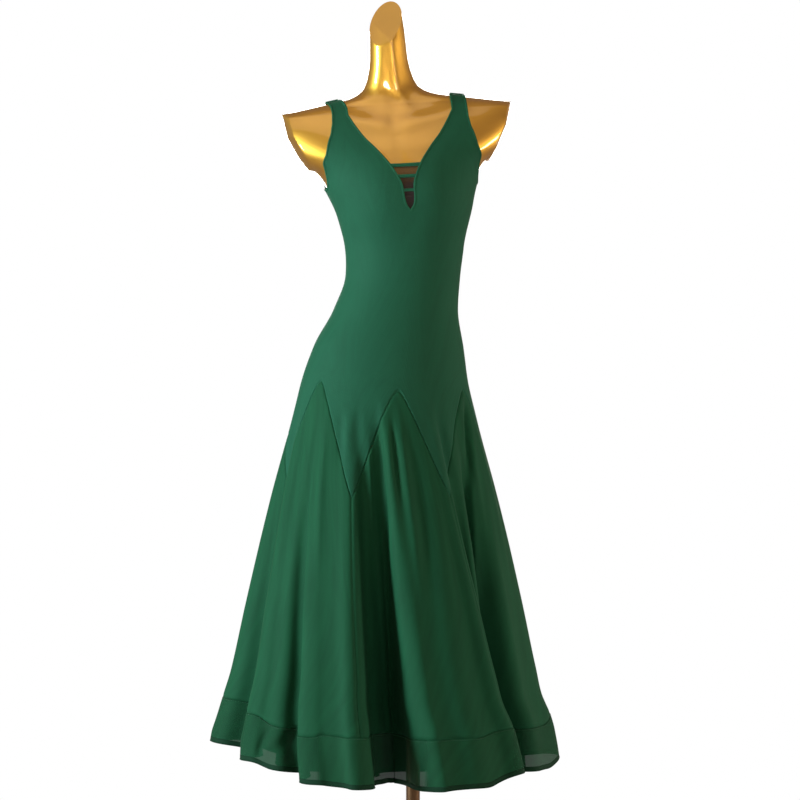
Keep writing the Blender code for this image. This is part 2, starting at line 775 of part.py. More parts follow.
def hem_band(name, first, last, finish, group):
    """The deep stiffened hem of half the skirt."""

    def row_height(share):
        def height(angle):
            low = hem_height(angle)
            return low + (band_top(angle) - SEAM_HALF_GAP - low) * share
        return height

    outer, inner = skirt_grids(first, last, [row_height(share) for share in (0.0, 0.5, 1.0)], False)
    bm = bmesh.new()
    add_wall(bm, outer, inner)
    return add_object(bm, name, finish, group)


def cut_half_width(z):
    """Half width at which a shoulder is cut off, from the table of the caps."""
    if z <= SHOULDER_CUT[0][0]:
        return SHOULDER_CUT[0][1]
    for low, high in zip(SHOULDER_CUT, SHOULDER_CUT[1:]):
        if z <= high[0]:
            return low[1] + (high[1] - low[1]) * (z - low[0]) / (high[0] - low[0])
    return SHOULDER_CUT[-1][1]


def form_section_point(angle, z):
    """A point of the display torso, set in under the cloth and flat at the cut shoulders."""
    held = max(z, THIGH_TAPER_FROM)
    point = figure_point(angle, held)
    centre_x, centre_y = section(held)[:2]
    lean = LEAN * smoothstep((held - LEAN_FROM) / (LEAN_FULL - LEAN_FROM))
    side = point.x - centre_x
    depth = point.y - centre_y
    if z < THIGH_TAPER_FROM:
        share = (THIGH_TAPER_FROM - z) / (THIGH_TAPER_FROM - FORM_BOTTOM)
        narrower = 1.0 - THIGH_TAPER * share**1.5
        side *= narrower
        depth *= narrower
    inset = FORM_INSET * (1.0 - smoothstep((z - FORM_INSET_UNTIL) / (FORM_FLUSH_FROM - FORM_INSET_UNTIL)))
    reach = math.hypot(side, depth)
    side *= (reach - inset) / reach
    depth *= (reach - inset) / reach
    cut = cut_half_width(z)
    if z > CAP_FROM and abs(side) > cut:
        rim_depth = rim_half_depth(z, depth < 0.0)
        dome = CAP_DOME * max(0.0, 1.0 - (depth / rim_depth) ** 2)
        side = math.copysign(cut + dome, side)
    return Vector((centre_x + side, centre_y + depth, z + lean * side))


def rim_half_depth(z, front):
    """Depth of a cut shoulder's rim in front of or behind its middle."""
    _, _, half, front_depth, back_depth, squareness = section(z)
    angle = rim_angle(z, front)
    power = 2.0 / squareness if front else 1.0
    depth = front_depth if front else back_depth
    return max(0.004, depth * math.cos(math.radians(angle)) ** power)


def rim_angle(z, front):
    """Angle of the rim of a cut shoulder, or of the column that continues it down the torso."""
    if z <= CAP_FROM:
        return RIM_ANGLE_BELOW
    return min(RIM_ANGLE_BELOW, angle_of(min(cut_half_width(z), section(z)[2]), z, front))


def form_angles(z):
    """Column angles of one ring of the torso, with a column on each cap's rim."""
    front, back = rim_angle(z, True), rim_angle(z, False)
    ahead = [front * step / COLUMNS_TO_RIM for step in range(COLUMNS_TO_RIM)]
    ahead += [front + (90.0 - front) * step / COLUMNS_ACROSS_CAP for step in range(COLUMNS_ACROSS_CAP)]
    behind = [90.0 + (90.0 - back) * step / COLUMNS_ACROSS_CAP for step in range(COLUMNS_ACROSS_CAP)]
    behind += [180.0 - back + back * step / COLUMNS_TO_RIM for step in range(COLUMNS_TO_RIM)]
    right = ahead + behind
    return right + [180.0] + [-a for a in right[:0:-1]]


def display_torso(name, finish, group):
    """Limbless torso with cut shoulders and a neck cut at a slant."""
    bm = bmesh.new()
    rings = []
    for z in FORM_RINGS:
        rings.append([bm.verts.new(form_section_point(angle, z)) for angle in form_angles(z)])
    count = len(rings[0])
    for low, high in zip(rings, rings[1:]):
        for c in range(count):
            d = (c + 1) % count
            bm.faces.new((low[c], low[d], high[d], high[c]))
    bm.faces.new(rings[0][::-1])
    bm.faces.new(rings[-1])
    bmesh.ops.recalc_face_normals(bm, faces=bm.faces)
    upper = [f for f in bm.faces if f.calc_center_median().z > 1.40]
    geometry = set(upper)
    for face in upper:
        geometry.update(face.edges)
        geometry.update(face.verts)
    bmesh.ops.bisect_plane(
        bm, geom=list(geometry), plane_co=NECK_CUT_POINT, plane_no=NECK_CUT_NORMAL, clear_outer=True
    )
    rim = [edge for edge in bm.edges if edge.is_boundary]
    bmesh.ops.contextual_create(bm, geom=rim)
    return add_object(bm, name, finish, group)


def turned_piece(name, radius, low, high, segments, finish, group):
    """A round plate or rod on the stand's axis."""
    bm = bmesh.new()
    bmesh.ops.create_cone(bm, cap_ends=True, segments=segments, radius1=radius, radius2=radius, depth=high - low)
    return add_object(bm, name, finish, group, location=(0.0, 0.0, (low + high) / 2))


def stand(pole_finish, base_finish, group):
    base = turned_piece("stand_base", BASE_RADIUS, 0.0, BASE_THICK, 48, base_finish, group)
    rounding = base.modifiers.new("edge", "BEVEL")
    rounding.width = BASE_EDGE_ROUND
    rounding.segments = 2
    rounding.limit_method = "ANGLE"
    pole_foot, pole_head = BASE_THICK + SEAT_GAP, FORM_BOTTOM - SEAT_GAP
    turned_piece("stand_pole", POLE_RADIUS, pole_foot, pole_head, 24, pole_finish, group)


def main():
    clear_scene()
    group = collection("dance_dress_on_form")
    jersey = material("bodice_jersey", (0.030, 0.120, 0.070), 0.75)
    chiffon = material("skirt_chiffon", (0.022, 0.115, 0.062), 0.70)
    braid = material("hem_stiffened", (0.020, 0.100, 0.055), 0.70)
    trim = material("edge_trim", (0.028, 0.125, 0.072), 0.70)
    mesh_cloth = material("keyhole_mesh", (0.016, 0.009, 0.008), 0.80)
    gold = material("form_gold", (0.720, 0.400, 0.080), 0.25, 0.85)
    pole = material("pole_bronze", (0.120, 0.075, 0.045), 0.35, 1.0)
    base = material("base_steel", (0.200, 0.190, 0.180), 0.40, 1.0)

    bodice_piece("bodice_front", True, jersey, group)
    bodice_piece("bodice_back", False, jersey, group)
    starts = [angle for angle, _ in BODICE_POINTS]
    names = ("right_front", "front", "left_front", "left_back", "back", "right_back")
    for index, place in enumerate(names):
        first = starts[index]
        last = starts[index + 1] if index + 1 < len(starts) else starts[0] + 360.0
        godet("godet_" + place, first, last, chiffon, group)
    hem_band("hem_band_front", starts[0], starts[3], braid, group)
    hem_band("hem_band_back", starts[3], starts[0] + 360.0, braid, group)
    for word, front in (("front", True), ("back", False)):
        surface = outside_of_bodice(front)
        neck_binding("neck_binding_" + word, front, surface, trim, group)
        armhole_binding("armhole_binding_" + word + "_right", -1, front, surface, trim, group)
        armhole_binding("armhole_binding_" + word + "_left", 1, front, surface, trim, group)
    for number, (height, width) in enumerate(LADDER, 1):
        ladder_band("ladder_band_" + str(number), height, width, trim, group)
    keyhole_inset("keyhole_inset", mesh_cloth, group)
    display_torso("display_torso", gold, group)
    stand(pole, base, group)


main()
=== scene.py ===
"""Cloth, trims, gold torso and studio for a sleeveless dance dress on a display torso.

Metres, +Z up, front of the dress towards -Y, the wearer's left towards +X. Angles are measured
round the figure in degrees, from the front towards the wearer's left.
"""

import math

import bmesh
import bpy
import numpy as np
from bpy.props import FloatProperty, FloatVectorProperty, PointerProperty
from mathutils import Matrix, Vector


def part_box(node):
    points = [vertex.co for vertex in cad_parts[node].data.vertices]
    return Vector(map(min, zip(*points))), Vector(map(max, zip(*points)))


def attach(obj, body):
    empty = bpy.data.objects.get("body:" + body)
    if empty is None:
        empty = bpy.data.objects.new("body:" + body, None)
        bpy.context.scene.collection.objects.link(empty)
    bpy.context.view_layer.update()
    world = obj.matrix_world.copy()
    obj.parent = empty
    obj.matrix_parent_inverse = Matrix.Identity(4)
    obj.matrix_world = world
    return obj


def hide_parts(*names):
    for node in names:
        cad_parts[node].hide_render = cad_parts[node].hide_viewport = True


bl_info = {
    "name": "Dance Dress on a Display Torso",
    "version": (1, 0, 0),
    "blender": (4, 5, 0),
    "location": "3D View > Sidebar > Dance Dress",
    "description": "Builds the cloth, trims, torso and studio of a dance dress round its solids",
    "category": "Object",
}

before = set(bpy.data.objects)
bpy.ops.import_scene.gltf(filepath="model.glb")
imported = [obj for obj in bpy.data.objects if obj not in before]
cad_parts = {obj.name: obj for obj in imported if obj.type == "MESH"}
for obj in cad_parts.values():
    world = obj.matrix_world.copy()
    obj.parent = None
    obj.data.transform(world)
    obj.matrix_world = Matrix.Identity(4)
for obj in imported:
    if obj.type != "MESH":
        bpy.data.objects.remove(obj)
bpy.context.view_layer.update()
BODY = "root"

# --- Figure and folds -----------------------------------------------------------------------

# The cloth's outside lies its ease and its wall out from the figure.
CLOTH_OUT = 0.0008 + 0.0016
FOLD_TOP = 0.835
FOLD_HEM = 0.185
FOLD_GROWTH = 1.15
DRIFT_GROWTH = 0.85
HIP_LINE = 0.885
CHEST_TOP = 1.125
LEAN = math.tan(math.radians(3.8))
LEAN_FROM = 1.02
LEAN_FULL = 1.3

# z, centre_x, centre_y, half_width, front_depth, back_depth, front_squareness
SECTIONS = np.array((
    (0.1, -0.0505, 0.008, 0.287, 0.272, 0.287, 2.0),
    (0.19, -0.051, 0.008, 0.2835, 0.268, 0.283, 2.0),
    (0.23, -0.052, 0.008, 0.28, 0.264, 0.28, 2.0),
    (0.254, -0.0515, 0.008, 0.2745, 0.258, 0.275, 2.0),
    (0.298, -0.054, 0.008, 0.261, 0.244, 0.262, 2.0),
    (0.345, -0.052, 0.008, 0.251, 0.233, 0.251, 2.0),
    (0.465, -0.0515, 0.008, 0.231, 0.213, 0.229, 2.0),
    (0.65, -0.0511, 0.008, 0.196, 0.175, 0.188, 2.0),
    (0.78, -0.051, 0.007, 0.166, 0.138, 0.153, 2.0),
    (0.845, -0.051, 0.005, 0.1515, 0.117, 0.133, 2.0),
    (0.925, -0.0437, 0.002, 0.132, 0.101, 0.116, 2.1),
    (0.99, -0.031, 0.0, 0.1095, 0.09, 0.094, 2.2),
    (1.05, -0.0185, 0.0, 0.101, 0.086, 0.08, 2.2),
    (1.1, -0.0157, 0.0, 0.1045, 0.09, 0.082, 2.2),
    (1.16, -0.0162, 0.0, 0.118, 0.103, 0.087, 2.4),
    (1.205, -0.021, 0.0, 0.1325, 0.108, 0.09, 2.4),
    (1.24, -0.0245, 0.0, 0.15, 0.102, 0.091, 2.3),
    (1.27, -0.0265, 0.0, 0.188, 0.093, 0.089, 2.2),
    (1.3, -0.028, 0.002, 0.22, 0.081, 0.084, 2.1),
    (1.325, -0.0285, 0.004, 0.238, 0.069, 0.074, 2.0),
    (1.342, -0.0285, 0.006, 0.236, 0.058, 0.062, 2.0),
    (1.352, -0.029, 0.007, 0.208, 0.051, 0.054, 2.0),
    (1.3595, -0.03, 0.008, 0.166, 0.046, 0.049, 2.0),
    (1.3665, -0.032, 0.008, 0.124, 0.043, 0.046, 2.0),
    (1.3735, -0.0345, 0.008, 0.083, 0.041, 0.044, 2.0),
    (1.381, -0.0375, 0.008, 0.062, 0.04, 0.0425, 2.0),
    (1.39, -0.0395, 0.007, 0.05, 0.039, 0.041, 2.0),
    (1.41, -0.0415, 0.004, 0.0405, 0.037, 0.0385, 2.0),
    (1.44, -0.044, 0.0, 0.0345, 0.0345, 0.035, 2.0),
    (1.49, -0.0475, -0.005, 0.0315, 0.032, 0.032, 2.0),
    (1.57, -0.0535, -0.012, 0.0225, 0.025, 0.025, 2.0),
))
BUST_HEIGHT, BUST_SIDE, BUST_RISE, BUST_REACH = 1.192, 0.056, 0.012, 0.04

# angle, drift of the angle at the hem, offset at the hem, doubling back towards the next row
FLUTES = np.array((
    (-90.0, 0.0, 0.03, 0.4), (-76.0, 8.0, -0.04, 0.8), (-68.0, 10.5, 0.024, 0.2),
    (-60.0, 12.0, 0.01, 0.4), (-54.0, 16.0, -0.024, 0.8), (-47.5, 17.0, 0.028, 0.2),
    (-36.0, 14.8, 0.02, 0.2), (-25.4, 13.0, 0.036, 0.9), (-20.0, 12.0, -0.018, 0.1),
    (-15.5, 13.0, -0.024, 0.2), (-11.0, 15.0, -0.052, 0.7), (-6.0, 16.0, 0.028, 0.2),
    (4.0, 14.5, 0.016, 0.1), (13.0, 14.5, 0.026, 0.1), (18.5, 17.0, 0.022, 0.1),
    (23.5, 19.0, 0.036, 0.9), (31.0, 17.0, -0.044, 0.1), (38.0, 15.0, -0.03, 0.1),
    (46.0, 13.0, -0.05, 0.5), (60.0, 8.0, 0.004, 0.1), (86.0, 4.0, 0.03, 0.4),
    (104.0, 2.0, -0.036, 0.4), (125.0, 0.0, 0.034, 0.5), (145.0, 0.0, -0.036, 0.5),
    (166.0, 0.0, 0.032, 0.5), (186.0, 0.0, -0.05, 0.5), (206.0, 0.0, 0.034, 0.5),
    (226.0, 0.0, -0.032, 0.4), (243.0, 0.0, 0.03, 0.4), (258.0, 0.0, -0.028, 0.4),
    (270.0, 0.0, 0.03, 0.4),
))

# Valleys that sink further towards the hem than the flutes do: angle, half width, depth at the hem
DEEP_VALLEYS = ((-14.5, 5.2, 0.106), (46.5, 4.4, 0.058))
VALLEY_GROWTH = 1.6

# Soft folds that are too fine for the solids. They lie on the flutes and fade at both ends.
# angle at the top, angle at the bottom, top, bottom, half width in degrees, rise in metres
SOFT_FOLDS = (
    (-33.5, -33.0, 0.818, 0.69, 1.6, -0.002), (-28.5, -29.0, 0.812, 0.66, 1.6, 0.0012),
    (-23.0, -24.5, 0.822, 0.69, 1.5, -0.0024), (-18.0, -19.5, 0.815, 0.7, 1.4, 0.0014),
    (-16.0, -17.0, 0.8, 0.54, 1.3, 0.004), (-9.0, -9.5, 0.806, 0.52, 1.2, -0.0062),
    (-5.0, -5.0, 0.815, 0.5, 1.6, 0.0034), (-1.5, -1.5, 0.806, 0.62, 1.1, -0.0046),
    (3.5, 3.0, 0.838, 0.42, 1.8, 0.0052), (9.0, 8.0, 0.806, 0.38, 2.4, -0.003),
    (17.0, 15.5, 0.78, 0.34, 2.4, 0.0022), (25.0, 24.0, 0.79, 0.66, 1.8, 0.0012),
    (30.0, 29.0, 0.806, 0.66, 1.6, -0.0022), (35.0, 35.0, 0.8, 0.69, 1.6, 0.0014),
    (62.5, 46.0, 0.838, 0.64, 2.0, -0.011), (46.0, 39.0, 0.74, 0.18, 2.3, -0.017),
    (52.0, 45.0, 0.76, 0.3, 1.8, 0.005), (60.0, 55.0, 0.76, 0.48, 2.0, -0.003),
    (70.0, 67.0, 0.84, 0.45, 3.0, 0.003), (38.0, 31.0, 0.7, 0.2, 1.8, 0.005),
    (-44.0, -43.0, 0.82, 0.48, 1.8, 0.0026), (-48.5, -48.0, 0.83, 0.48, 1.6, -0.0026),
    (-55.0, -56.0, 0.85, 0.48, 2.0, 0.0034), (-62.0, -62.0, 0.84, 0.5, 2.0, -0.003),
    (-72.0, -72.0, 0.82, 0.5, 2.2, 0.0026), (86.0, 88.0, 0.8, 0.56, 2.5, -0.0034),
    (96.0, 97.0, 0.8, 0.54, 2.6, -0.0034), (112.0, 112.0, 0.83, 0.48, 2.8, 0.0034),
    (128.0, 129.0, 0.83, 0.48, 2.8, -0.003), (144.0, 144.0, 0.8, 0.56, 2.6, -0.0034),
    (155.0, 154.0, 0.8, 0.56, 2.6, 0.003), (171.0, 171.0, 0.83, 0.46, 2.8, -0.0034),
    (188.0, 189.0, 0.83, 0.46, 2.8, 0.0034), (204.0, 203.0, 0.8, 0.56, 2.6, -0.0034),
    (216.0, 217.0, 0.8, 0.56, 2.6, 0.003), (234.0, 234.0, 0.84, 0.48, 2.8, -0.0034),
    (250.0, 249.0, 0.84, 0.48, 2.8, 0.003), (262.0, 262.0, 0.8, 0.54, 2.4, -0.003),
    (-59.5, -65.0, 0.268, 0.19, 0.9, -0.004), (-57.0, -62.5, 0.268, 0.19, 0.9, 0.0034),
    (-54.5, -60.0, 0.264, 0.2, 0.9, -0.003),
)

# Corners of the pointed seam between the bodice and the godets: angle, height
GODET_PEAKS = (
    (-54.0, 0.86), (5.0, 0.842), (62.0, 0.8436), (120.0, 0.845), (180.0, 0.85), (242.0, 0.858))
BODICE_POINTS = (
    (-79.0, 0.688), (-25.4, 0.655), (24.0, 0.655), (90.0, 0.66), (150.0, 0.665), (211.0, 0.678))
CHEVRON_BOW = 1.5
# front or back, whether it is the front, width and length of its cut, area of the cut
BODICE_CUTS = (("front", True, (0.42, 0.74), 0.2), ("back", False, (0.44, 0.74), 0.19))
# godet, width of its cut at the hem band, length from that to the peak, area of the cut
GODETS = (
    ("right_front", 0.42, 0.62, 0.14), ("front", 0.46, 0.64, 0.162),
    ("left_front", 0.36, 0.62, 0.135), ("left_back", 0.37, 0.62, 0.137),
    ("back", 0.44, 0.66, 0.166), ("right_back", 0.46, 0.6, 0.16),
)

# angle, height of the hem
HEM_HEIGHTS = np.array((
    (-90.0, 0.217), (-68.0, 0.196), (-55.0, 0.178), (-47.0, 0.164), (-25.0, 0.157), (-8.0, 0.15),
    (13.0, 0.155), (25.0, 0.176), (46.0, 0.167), (68.0, 0.168), (88.0, 0.185), (106.0, 0.178),
    (122.0, 0.142), (150.0, 0.128), (180.0, 0.124), (202.0, 0.129), (222.0, 0.173), (240.0, 0.203),
    (256.0, 0.217), (270.0, 0.217),
))
# angle, depth of the stitched hem
HEM_DEPTHS = np.array((
    (-90.0, 0.078), (-68.0, 0.08), (-58.0, 0.074), (-46.0, 0.08), (-38.0, 0.086), (-10.0, 0.088),
    (14.0, 0.085), (30.0, 0.074), (46.0, 0.073), (60.0, 0.076), (90.0, 0.078), (240.0, 0.078),
    (270.0, 0.078),
))

# x of the hem's ends, and of the front lobes whose hem is made fully opaque: painted shade, for the
# dark skirt behind them
HEM_SPAN = (-0.36, 0.27)
OPAQUE_LOBES, OPAQUE_FADE = ((-0.186, -0.1), (0.002, 0.148)), 0.01

# neck_x, neck_z, armhole_angle, armhole_z, a row each from the side seam's top to the shoulder
FRONT_EDGES = np.array((
    (0.0, 1.164, 90.0, 1.211), (0.0054, 1.1716, 83.5, 1.2118), (0.0082, 1.18, 77.5, 1.2148),
    (0.0092, 1.19, 72.5, 1.22), (0.0096, 1.2015, 68.0, 1.229), (0.011, 1.211, 63.0, 1.241),
    (0.015, 1.2215, 55.0, 1.255), (0.025, 1.2425, 43.5, 1.272), (0.048, 1.2745, 35.8, 1.295),
    (0.067, 1.297, 32.0, 1.312), (0.0825, 1.321, 30.7, 1.328), (0.093, 1.34, 30.8, 1.342),
))
BACK_EDGES = np.array((
    (0.0, 1.23, 90.0, 1.211), (0.012, 1.235, 83.5, 1.2118), (0.024, 1.244, 77.5, 1.2148),
    (0.035, 1.255, 72.5, 1.2205), (0.045, 1.266, 68.0, 1.23), (0.054, 1.277, 63.5, 1.241),
    (0.062, 1.287, 56.0, 1.254), (0.07, 1.298, 46.0, 1.269), (0.077, 1.309, 39.0, 1.286),
    (0.083, 1.319, 34.5, 1.304), (0.0885, 1.329, 31.8, 1.323), (0.0945, 1.34, 31.0, 1.342),
))
STRAP_INNER, STRAP_OUTER = 0.101, 0.1246
SHOULDER_LOW, SHOULDER_HIGH = 1.335, 1.388

# Strap tops: gap at their sides, how far out the fold lies, half its width and thickness
STRAP_GAP, STRAP_FOLD_OUT, STRAP_FOLD = 0.0004, 0.001, (0.0038, 0.0017)
# Bindings: where their stitches lie, into the cloth and out of it
SEWN_IN, SEWN_OUT = 0.002, 0.0003

# height of each ladder band's middle, its width
LADDER = ((1.243, 0.007), (1.223, 0.0065), (1.1985, 0.0055))
LADDER_TUCK, LADDER_HALF_THICKNESS, LADDER_WAIST = 0.0022, 0.0009, 0.08
INSET_LOW, INSET_HIGH, INSET_HALF_WIDTH = 1.156, 1.2425, 0.017
INSET_TUCK, INSET_OUT, INSET_SHELL = 0.006, 0.0007, 0.0003

# Display torso
FORM_BOTTOM, NECK_FROM, FORM_TOP = 0.7, 1.4, 1.582
FORM_INSET, FORM_INSET_UNTIL, FORM_FLUSH_FROM = 0.0026, 1.235, 1.285
THIGH_TAPER, THIGH_TAPER_FROM, THIGH_TAPER_GROWTH = 0.09, 0.85, 1.5
# height, half width of the cut
SHOULDER_CUT = np.array((
    (1.225, 0.149), (1.25, 0.157), (1.271, 0.171), (1.31, 0.19), (1.352, 0.199)))
CAP_DOME, CAP_FROM, CAP_DOME_RISE = 0.008, 1.228, 0.03
RIM_ANGLE_BELOW, LEAST_CUT_DEPTH = 74.0, 0.004
NECK_CUT_POINT = (-0.049, 0.0, 1.519)
NECK_CUT_NORMAL = (-0.78, -1.38, 1.0)
# Height up to which rows run, how many of them
TORSO_ROWS = ((CAP_FROM, 74), (NECK_FROM, 92), (FORM_TOP, 34))
COLUMNS_TO_RIM, COLUMNS_ACROSS_CAP = 30, 10
# Throat tendons, collarbones and the hollows between them, each along a line on the front:
# x and z of one end, x and z of the other, half width, rise
FORM_RELIEF = (
    (-0.0225, 1.49, -0.03, 1.365, 0.011, 0.0032),
    (0.004, 1.47, 0.009, 1.355, 0.007, 0.003),
    (-0.036, 1.318, -0.12, 1.346, 0.0105, 0.003),
    (0.012, 1.318, 0.11, 1.346, 0.0105, 0.003),
    (-0.0135, 1.328, -0.0125, 1.334, 0.0075, -0.0022),
    (-0.062, 1.35, -0.1, 1.352, 0.01, -0.0022),
    (0.04, 1.346, 0.09, 1.352, 0.01, -0.0022),
    (-0.01, 1.296, -0.006, 1.24, 0.004, -0.0014),
)

# Hem: ripple of its edge, lip of the turned-up layer, width of the dark edge
RIPPLE, RIPPLES_A_TURN = 0.0007, 23.0
LIP, LIP_FROM, LIP_TO = 0.0005, 0.01, 0.004
HEM_EDGE_ROWS = (0.0, 0.0025, 0.0052, 0.0078)
HEM_INSET, EDGE_OUT, STITCHES_BELOW = 0.0004, 0.0002, 0.0025

# Half the width of the floor, which ends just under the picture's lower edge
FLOOR_RADIUS = 0.9

# Camera and lights
LENS, SENSOR = 162.5, 36.0
CAMERA_TARGET, CAMERA_DISTANCE, CAMERA_AZIMUTH = (-0.0235, 0.0, 0.827), 6.5, -6.0
AMBIENT, AMBIENT_STRENGTH = (1.0, 0.74, 0.54, 1.0), 0.23
WHITE = (1.0, 1.0, 1.0, 1.0)
# name, place, aim, width, height, watts, spread in degrees, colour
LIGHTS = (
    ("key", (-2.87, -0.88, 1.1), (-0.03, 0.0, 0.95), 0.8, 1.9, 51.0, 100.0, (0.7, 0.92, 1.0)),
    ("front", (-0.7, -7.6, 1.66), (-0.03, 0.0, 1.3), 3.4, 0.9, 2.2, 10.0, (1.0, 1.0, 0.88)),
    ("fill", (2.6, -7.0, 1.9), (-0.03, 0.0, 0.9), 2.6, 2.4, 10.0, 100.0, (1.0, 1.0, 0.88)),
    ("top", (-0.3, -0.8, 3.2), (-0.03, 0.0, 1.3), 2.4, 2.0, 4.0, 100.0, (1.0, 1.0, 0.88)),
    ("right", (2.95, -0.75, 0.8), (-0.03, 0.0, 0.7), 0.4, 1.5, 11.0, 100.0, (1.0, 0.97, 0.86)),
    ("right_rim", (2.36, 1.1, 1.0), (-0.03, 0.0, 0.7), 0.5, 1.4, 2.0, 100.0, (1.0, 1.0, 0.93)),
    ("back", (0.3, 3.8, 1.7), (-0.03, 0.0, 0.9), 2.4, 2.0, 24.0, 70.0, (1.0, 1.0, 0.95)),
)

# Fineness of the cloth
COLUMN_STEP = 1.4
SKIRT_COLUMN_STEP = 0.62
ANGLE_STEP = 0.05
HEIGHT_STEP = 0.0002


def ease(share):
    held = np.clip(share, 0.0, 1.0)
    return held * held * (3.0 - 2.0 * held)


def row_slopes(table):
    """Slopes of the curves through a table's columns that never overshoot its rows."""
    rate = np.diff(table[:, 1:], axis=0) / np.diff(table[:, :1], axis=0)
    slopes = np.zeros_like(table[:, 1:])
    slopes[0], slopes[-1] = rate[0], rate[-1]
    together = rate[:-1] * rate[1:]
    total = np.where(together > 0.0, rate[:-1] + rate[1:], 1.0)
    slopes[1:-1] = np.where(together > 0.0, 2.0 * together / total, 0.0)
    return slopes


def read_curves(table, slopes, at):
    """Every column of a table at some values of its first one, on smooth curves."""
    index = np.clip(np.searchsorted(table[:, 0], at) - 1, 0, len(table) - 2)
    low, high = table[index], table[index + 1]
    span = high[..., :1] - low[..., :1]
    t = (at[..., None] - low[..., :1]) / span
    values = (2 * t**3 - 3 * t**2 + 1) * low[..., 1:] + (t**3 - 2 * t**2 + t) * span * slopes[index]
    values += (3 * t**2 - 2 * t**3) * high[..., 1:] + (t**3 - t**2) * span * slopes[index + 1]
    return np.moveaxis(values, -1, 0)


SECTION_SLOPES = row_slopes(SECTIONS)


def section(z):
    return read_curves(SECTIONS, SECTION_SLOPES, z)


def flute(angle, z):
    """Where the flutes carry points of the skirt: their turned angles and their moves outwards."""
    depth = np.clip((FOLD_TOP - z) / (FOLD_TOP - FOLD_HEM), 0.0, 1.3)
    grown = depth**FOLD_GROWTH
    first = FLUTES[0, 0]
    turned = (angle - first) % 360.0 + first
    whole_turns = angle - turned
    index = np.clip(np.searchsorted(FLUTES[:, 0], turned) - 1, 0, len(FLUTES) - 2)
    low, high = FLUTES[index], FLUTES[index + 1]
    span = high[..., 0] - low[..., 0]
    t = (turned - low[..., 0]) / span
    offset = low[..., 2] + (high[..., 2] - low[..., 2]) * (0.5 - 0.5 * np.cos(np.pi * t))
    drift = low[..., 1] + (high[..., 1] - low[..., 1]) * t
    hem_span = span + high[..., 1] - low[..., 1]
    bulge = hem_span * low[..., 3] / np.pi * np.sin(2.0 * np.pi * t)
    move = offset * grown
    for middle, half, sunk in DEEP_VALLEYS:
        move = move - sunk * depth**VALLEY_GROWTH * np.exp(-0.5 * ((turned - middle) / half) ** 2)
    return turned + whole_turns + drift * grown**DRIFT_GROWTH + bulge * grown, move


def soft_fold(angle, z):
    """How far the soft folds lift the cloth."""
    lift = np.zeros_like(z)
    for top_angle, low_angle, top, low, half, rise in SOFT_FOLDS:
        share = (top - z) / (top - low)
        middle = top_angle + (low_angle - top_angle) * share
        away = ((angle - middle + 180.0) % 360.0 - 180.0) / half
        fade = ease(share * 3.0) * ease((1.0 - share) * 2.0)
        lift += rise * fade * np.exp(-0.5 * away**2)
    return lift


def figure(angle, z):
    """Points of the figure, by angle and by height before the lean."""
    centre_x, centre_y, half, front, back, square = section(z)
    turned, outwards = flute(angle, z)
    across, along = np.sin(np.radians(turned)), np.cos(np.radians(turned))
    power = np.where(along > 0.0, 2.0 / square, 1.0)
    side = np.copysign(np.abs(across) ** power, across) * (half + outwards)
    rise = 0.0
    for bust_x in (-BUST_SIDE, BUST_SIDE):
        away = (side - bust_x) ** 2 + (z - BUST_HEIGHT) ** 2
        rise = rise + BUST_RISE * np.exp(-away / (2 * BUST_REACH**2))
    reach = np.abs(along)
    ahead = -(reach**power) * (front + outwards) - rise * reach
    depth = np.where(along > 0.0, ahead, reach * (back + outwards))
    lean = LEAN * ease((z - LEAN_FROM) / (LEAN_FULL - LEAN_FROM))
    return np.stack((centre_x + side, centre_y + depth, z + lean * side), axis=-1)


def unit(vectors):
    return vectors / np.maximum(np.linalg.norm(vectors, axis=-1, keepdims=True), 1e-12)


def facing(angle, z):
    """Directions in which the figure faces."""
    round_it = figure(angle + ANGLE_STEP, z) - figure(angle - ANGLE_STEP, z)
    up_it = figure(angle, z + HEIGHT_STEP) - figure(angle, z - HEIGHT_STEP)
    return unit(np.cross(round_it, up_it))


def cloth(angle, z, out):
    """Points of the cloth: the figure moved out, with the soft folds."""
    angle, z = np.broadcast_arrays(np.asarray(angle, float), np.asarray(z, float))
    lift = out + soft_fold(angle, z)
    return figure(angle, z) + facing(angle, z) * lift[..., None]


def angle_of(x, z, front):
    """The angle at which the figure has that distance from its middle line at that height."""
    _, _, half, _, _, square = section(z)
    power = square / 2.0 if front else 1.0
    return np.degrees(np.arcsin(np.minimum(1.0, x / half) ** power))


def distance_at(angle, z, front):
    _, _, half, _, _, square = section(z)
    return half * np.sin(np.radians(angle)) ** (2.0 / square if front else 1.0)


def shoulder_height(x, angle, front):
    """The height at which the shoulder slope has that distance from the middle at that angle."""
    low, high = np.full_like(x, SHOULDER_LOW), np.full_like(x, SHOULDER_HIGH)
    for _ in range(40):
        middle = 0.5 * (low + high)
        beyond = distance_at(angle, middle, front) > x
        low, high = np.where(beyond, middle, low), np.where(beyond, high, middle)
    return low


CORNERS = sorted([(a, z, True) for a, z in GODET_PEAKS] + [(a, z, False) for a, z in BODICE_POINTS])
CORNERS.append((CORNERS[0][0] + 360.0, *CORNERS[0][1:]))


def chevron(angle):
    """Height of the pointed seam between the bodice and the godets."""
    turned = (angle - CORNERS[0][0]) % 360.0 + CORNERS[0][0]
    height = np.zeros_like(turned)
    for low, high in zip(CORNERS, CORNERS[1:]):
        t = (turned - low[0]) / (high[0] - low[0])
        peak, point = (low, high) if low[2] else (high, low)
        from_peak = t if low[2] else 1.0 - t
        here = peak[1] + (point[1] - peak[1]) * np.clip(from_peak, 0.0, 1.0) ** CHEVRON_BOW
        height = np.where((turned >= low[0] - 1e-6) & (turned <= high[0] + 1e-6), here, height)
    return height


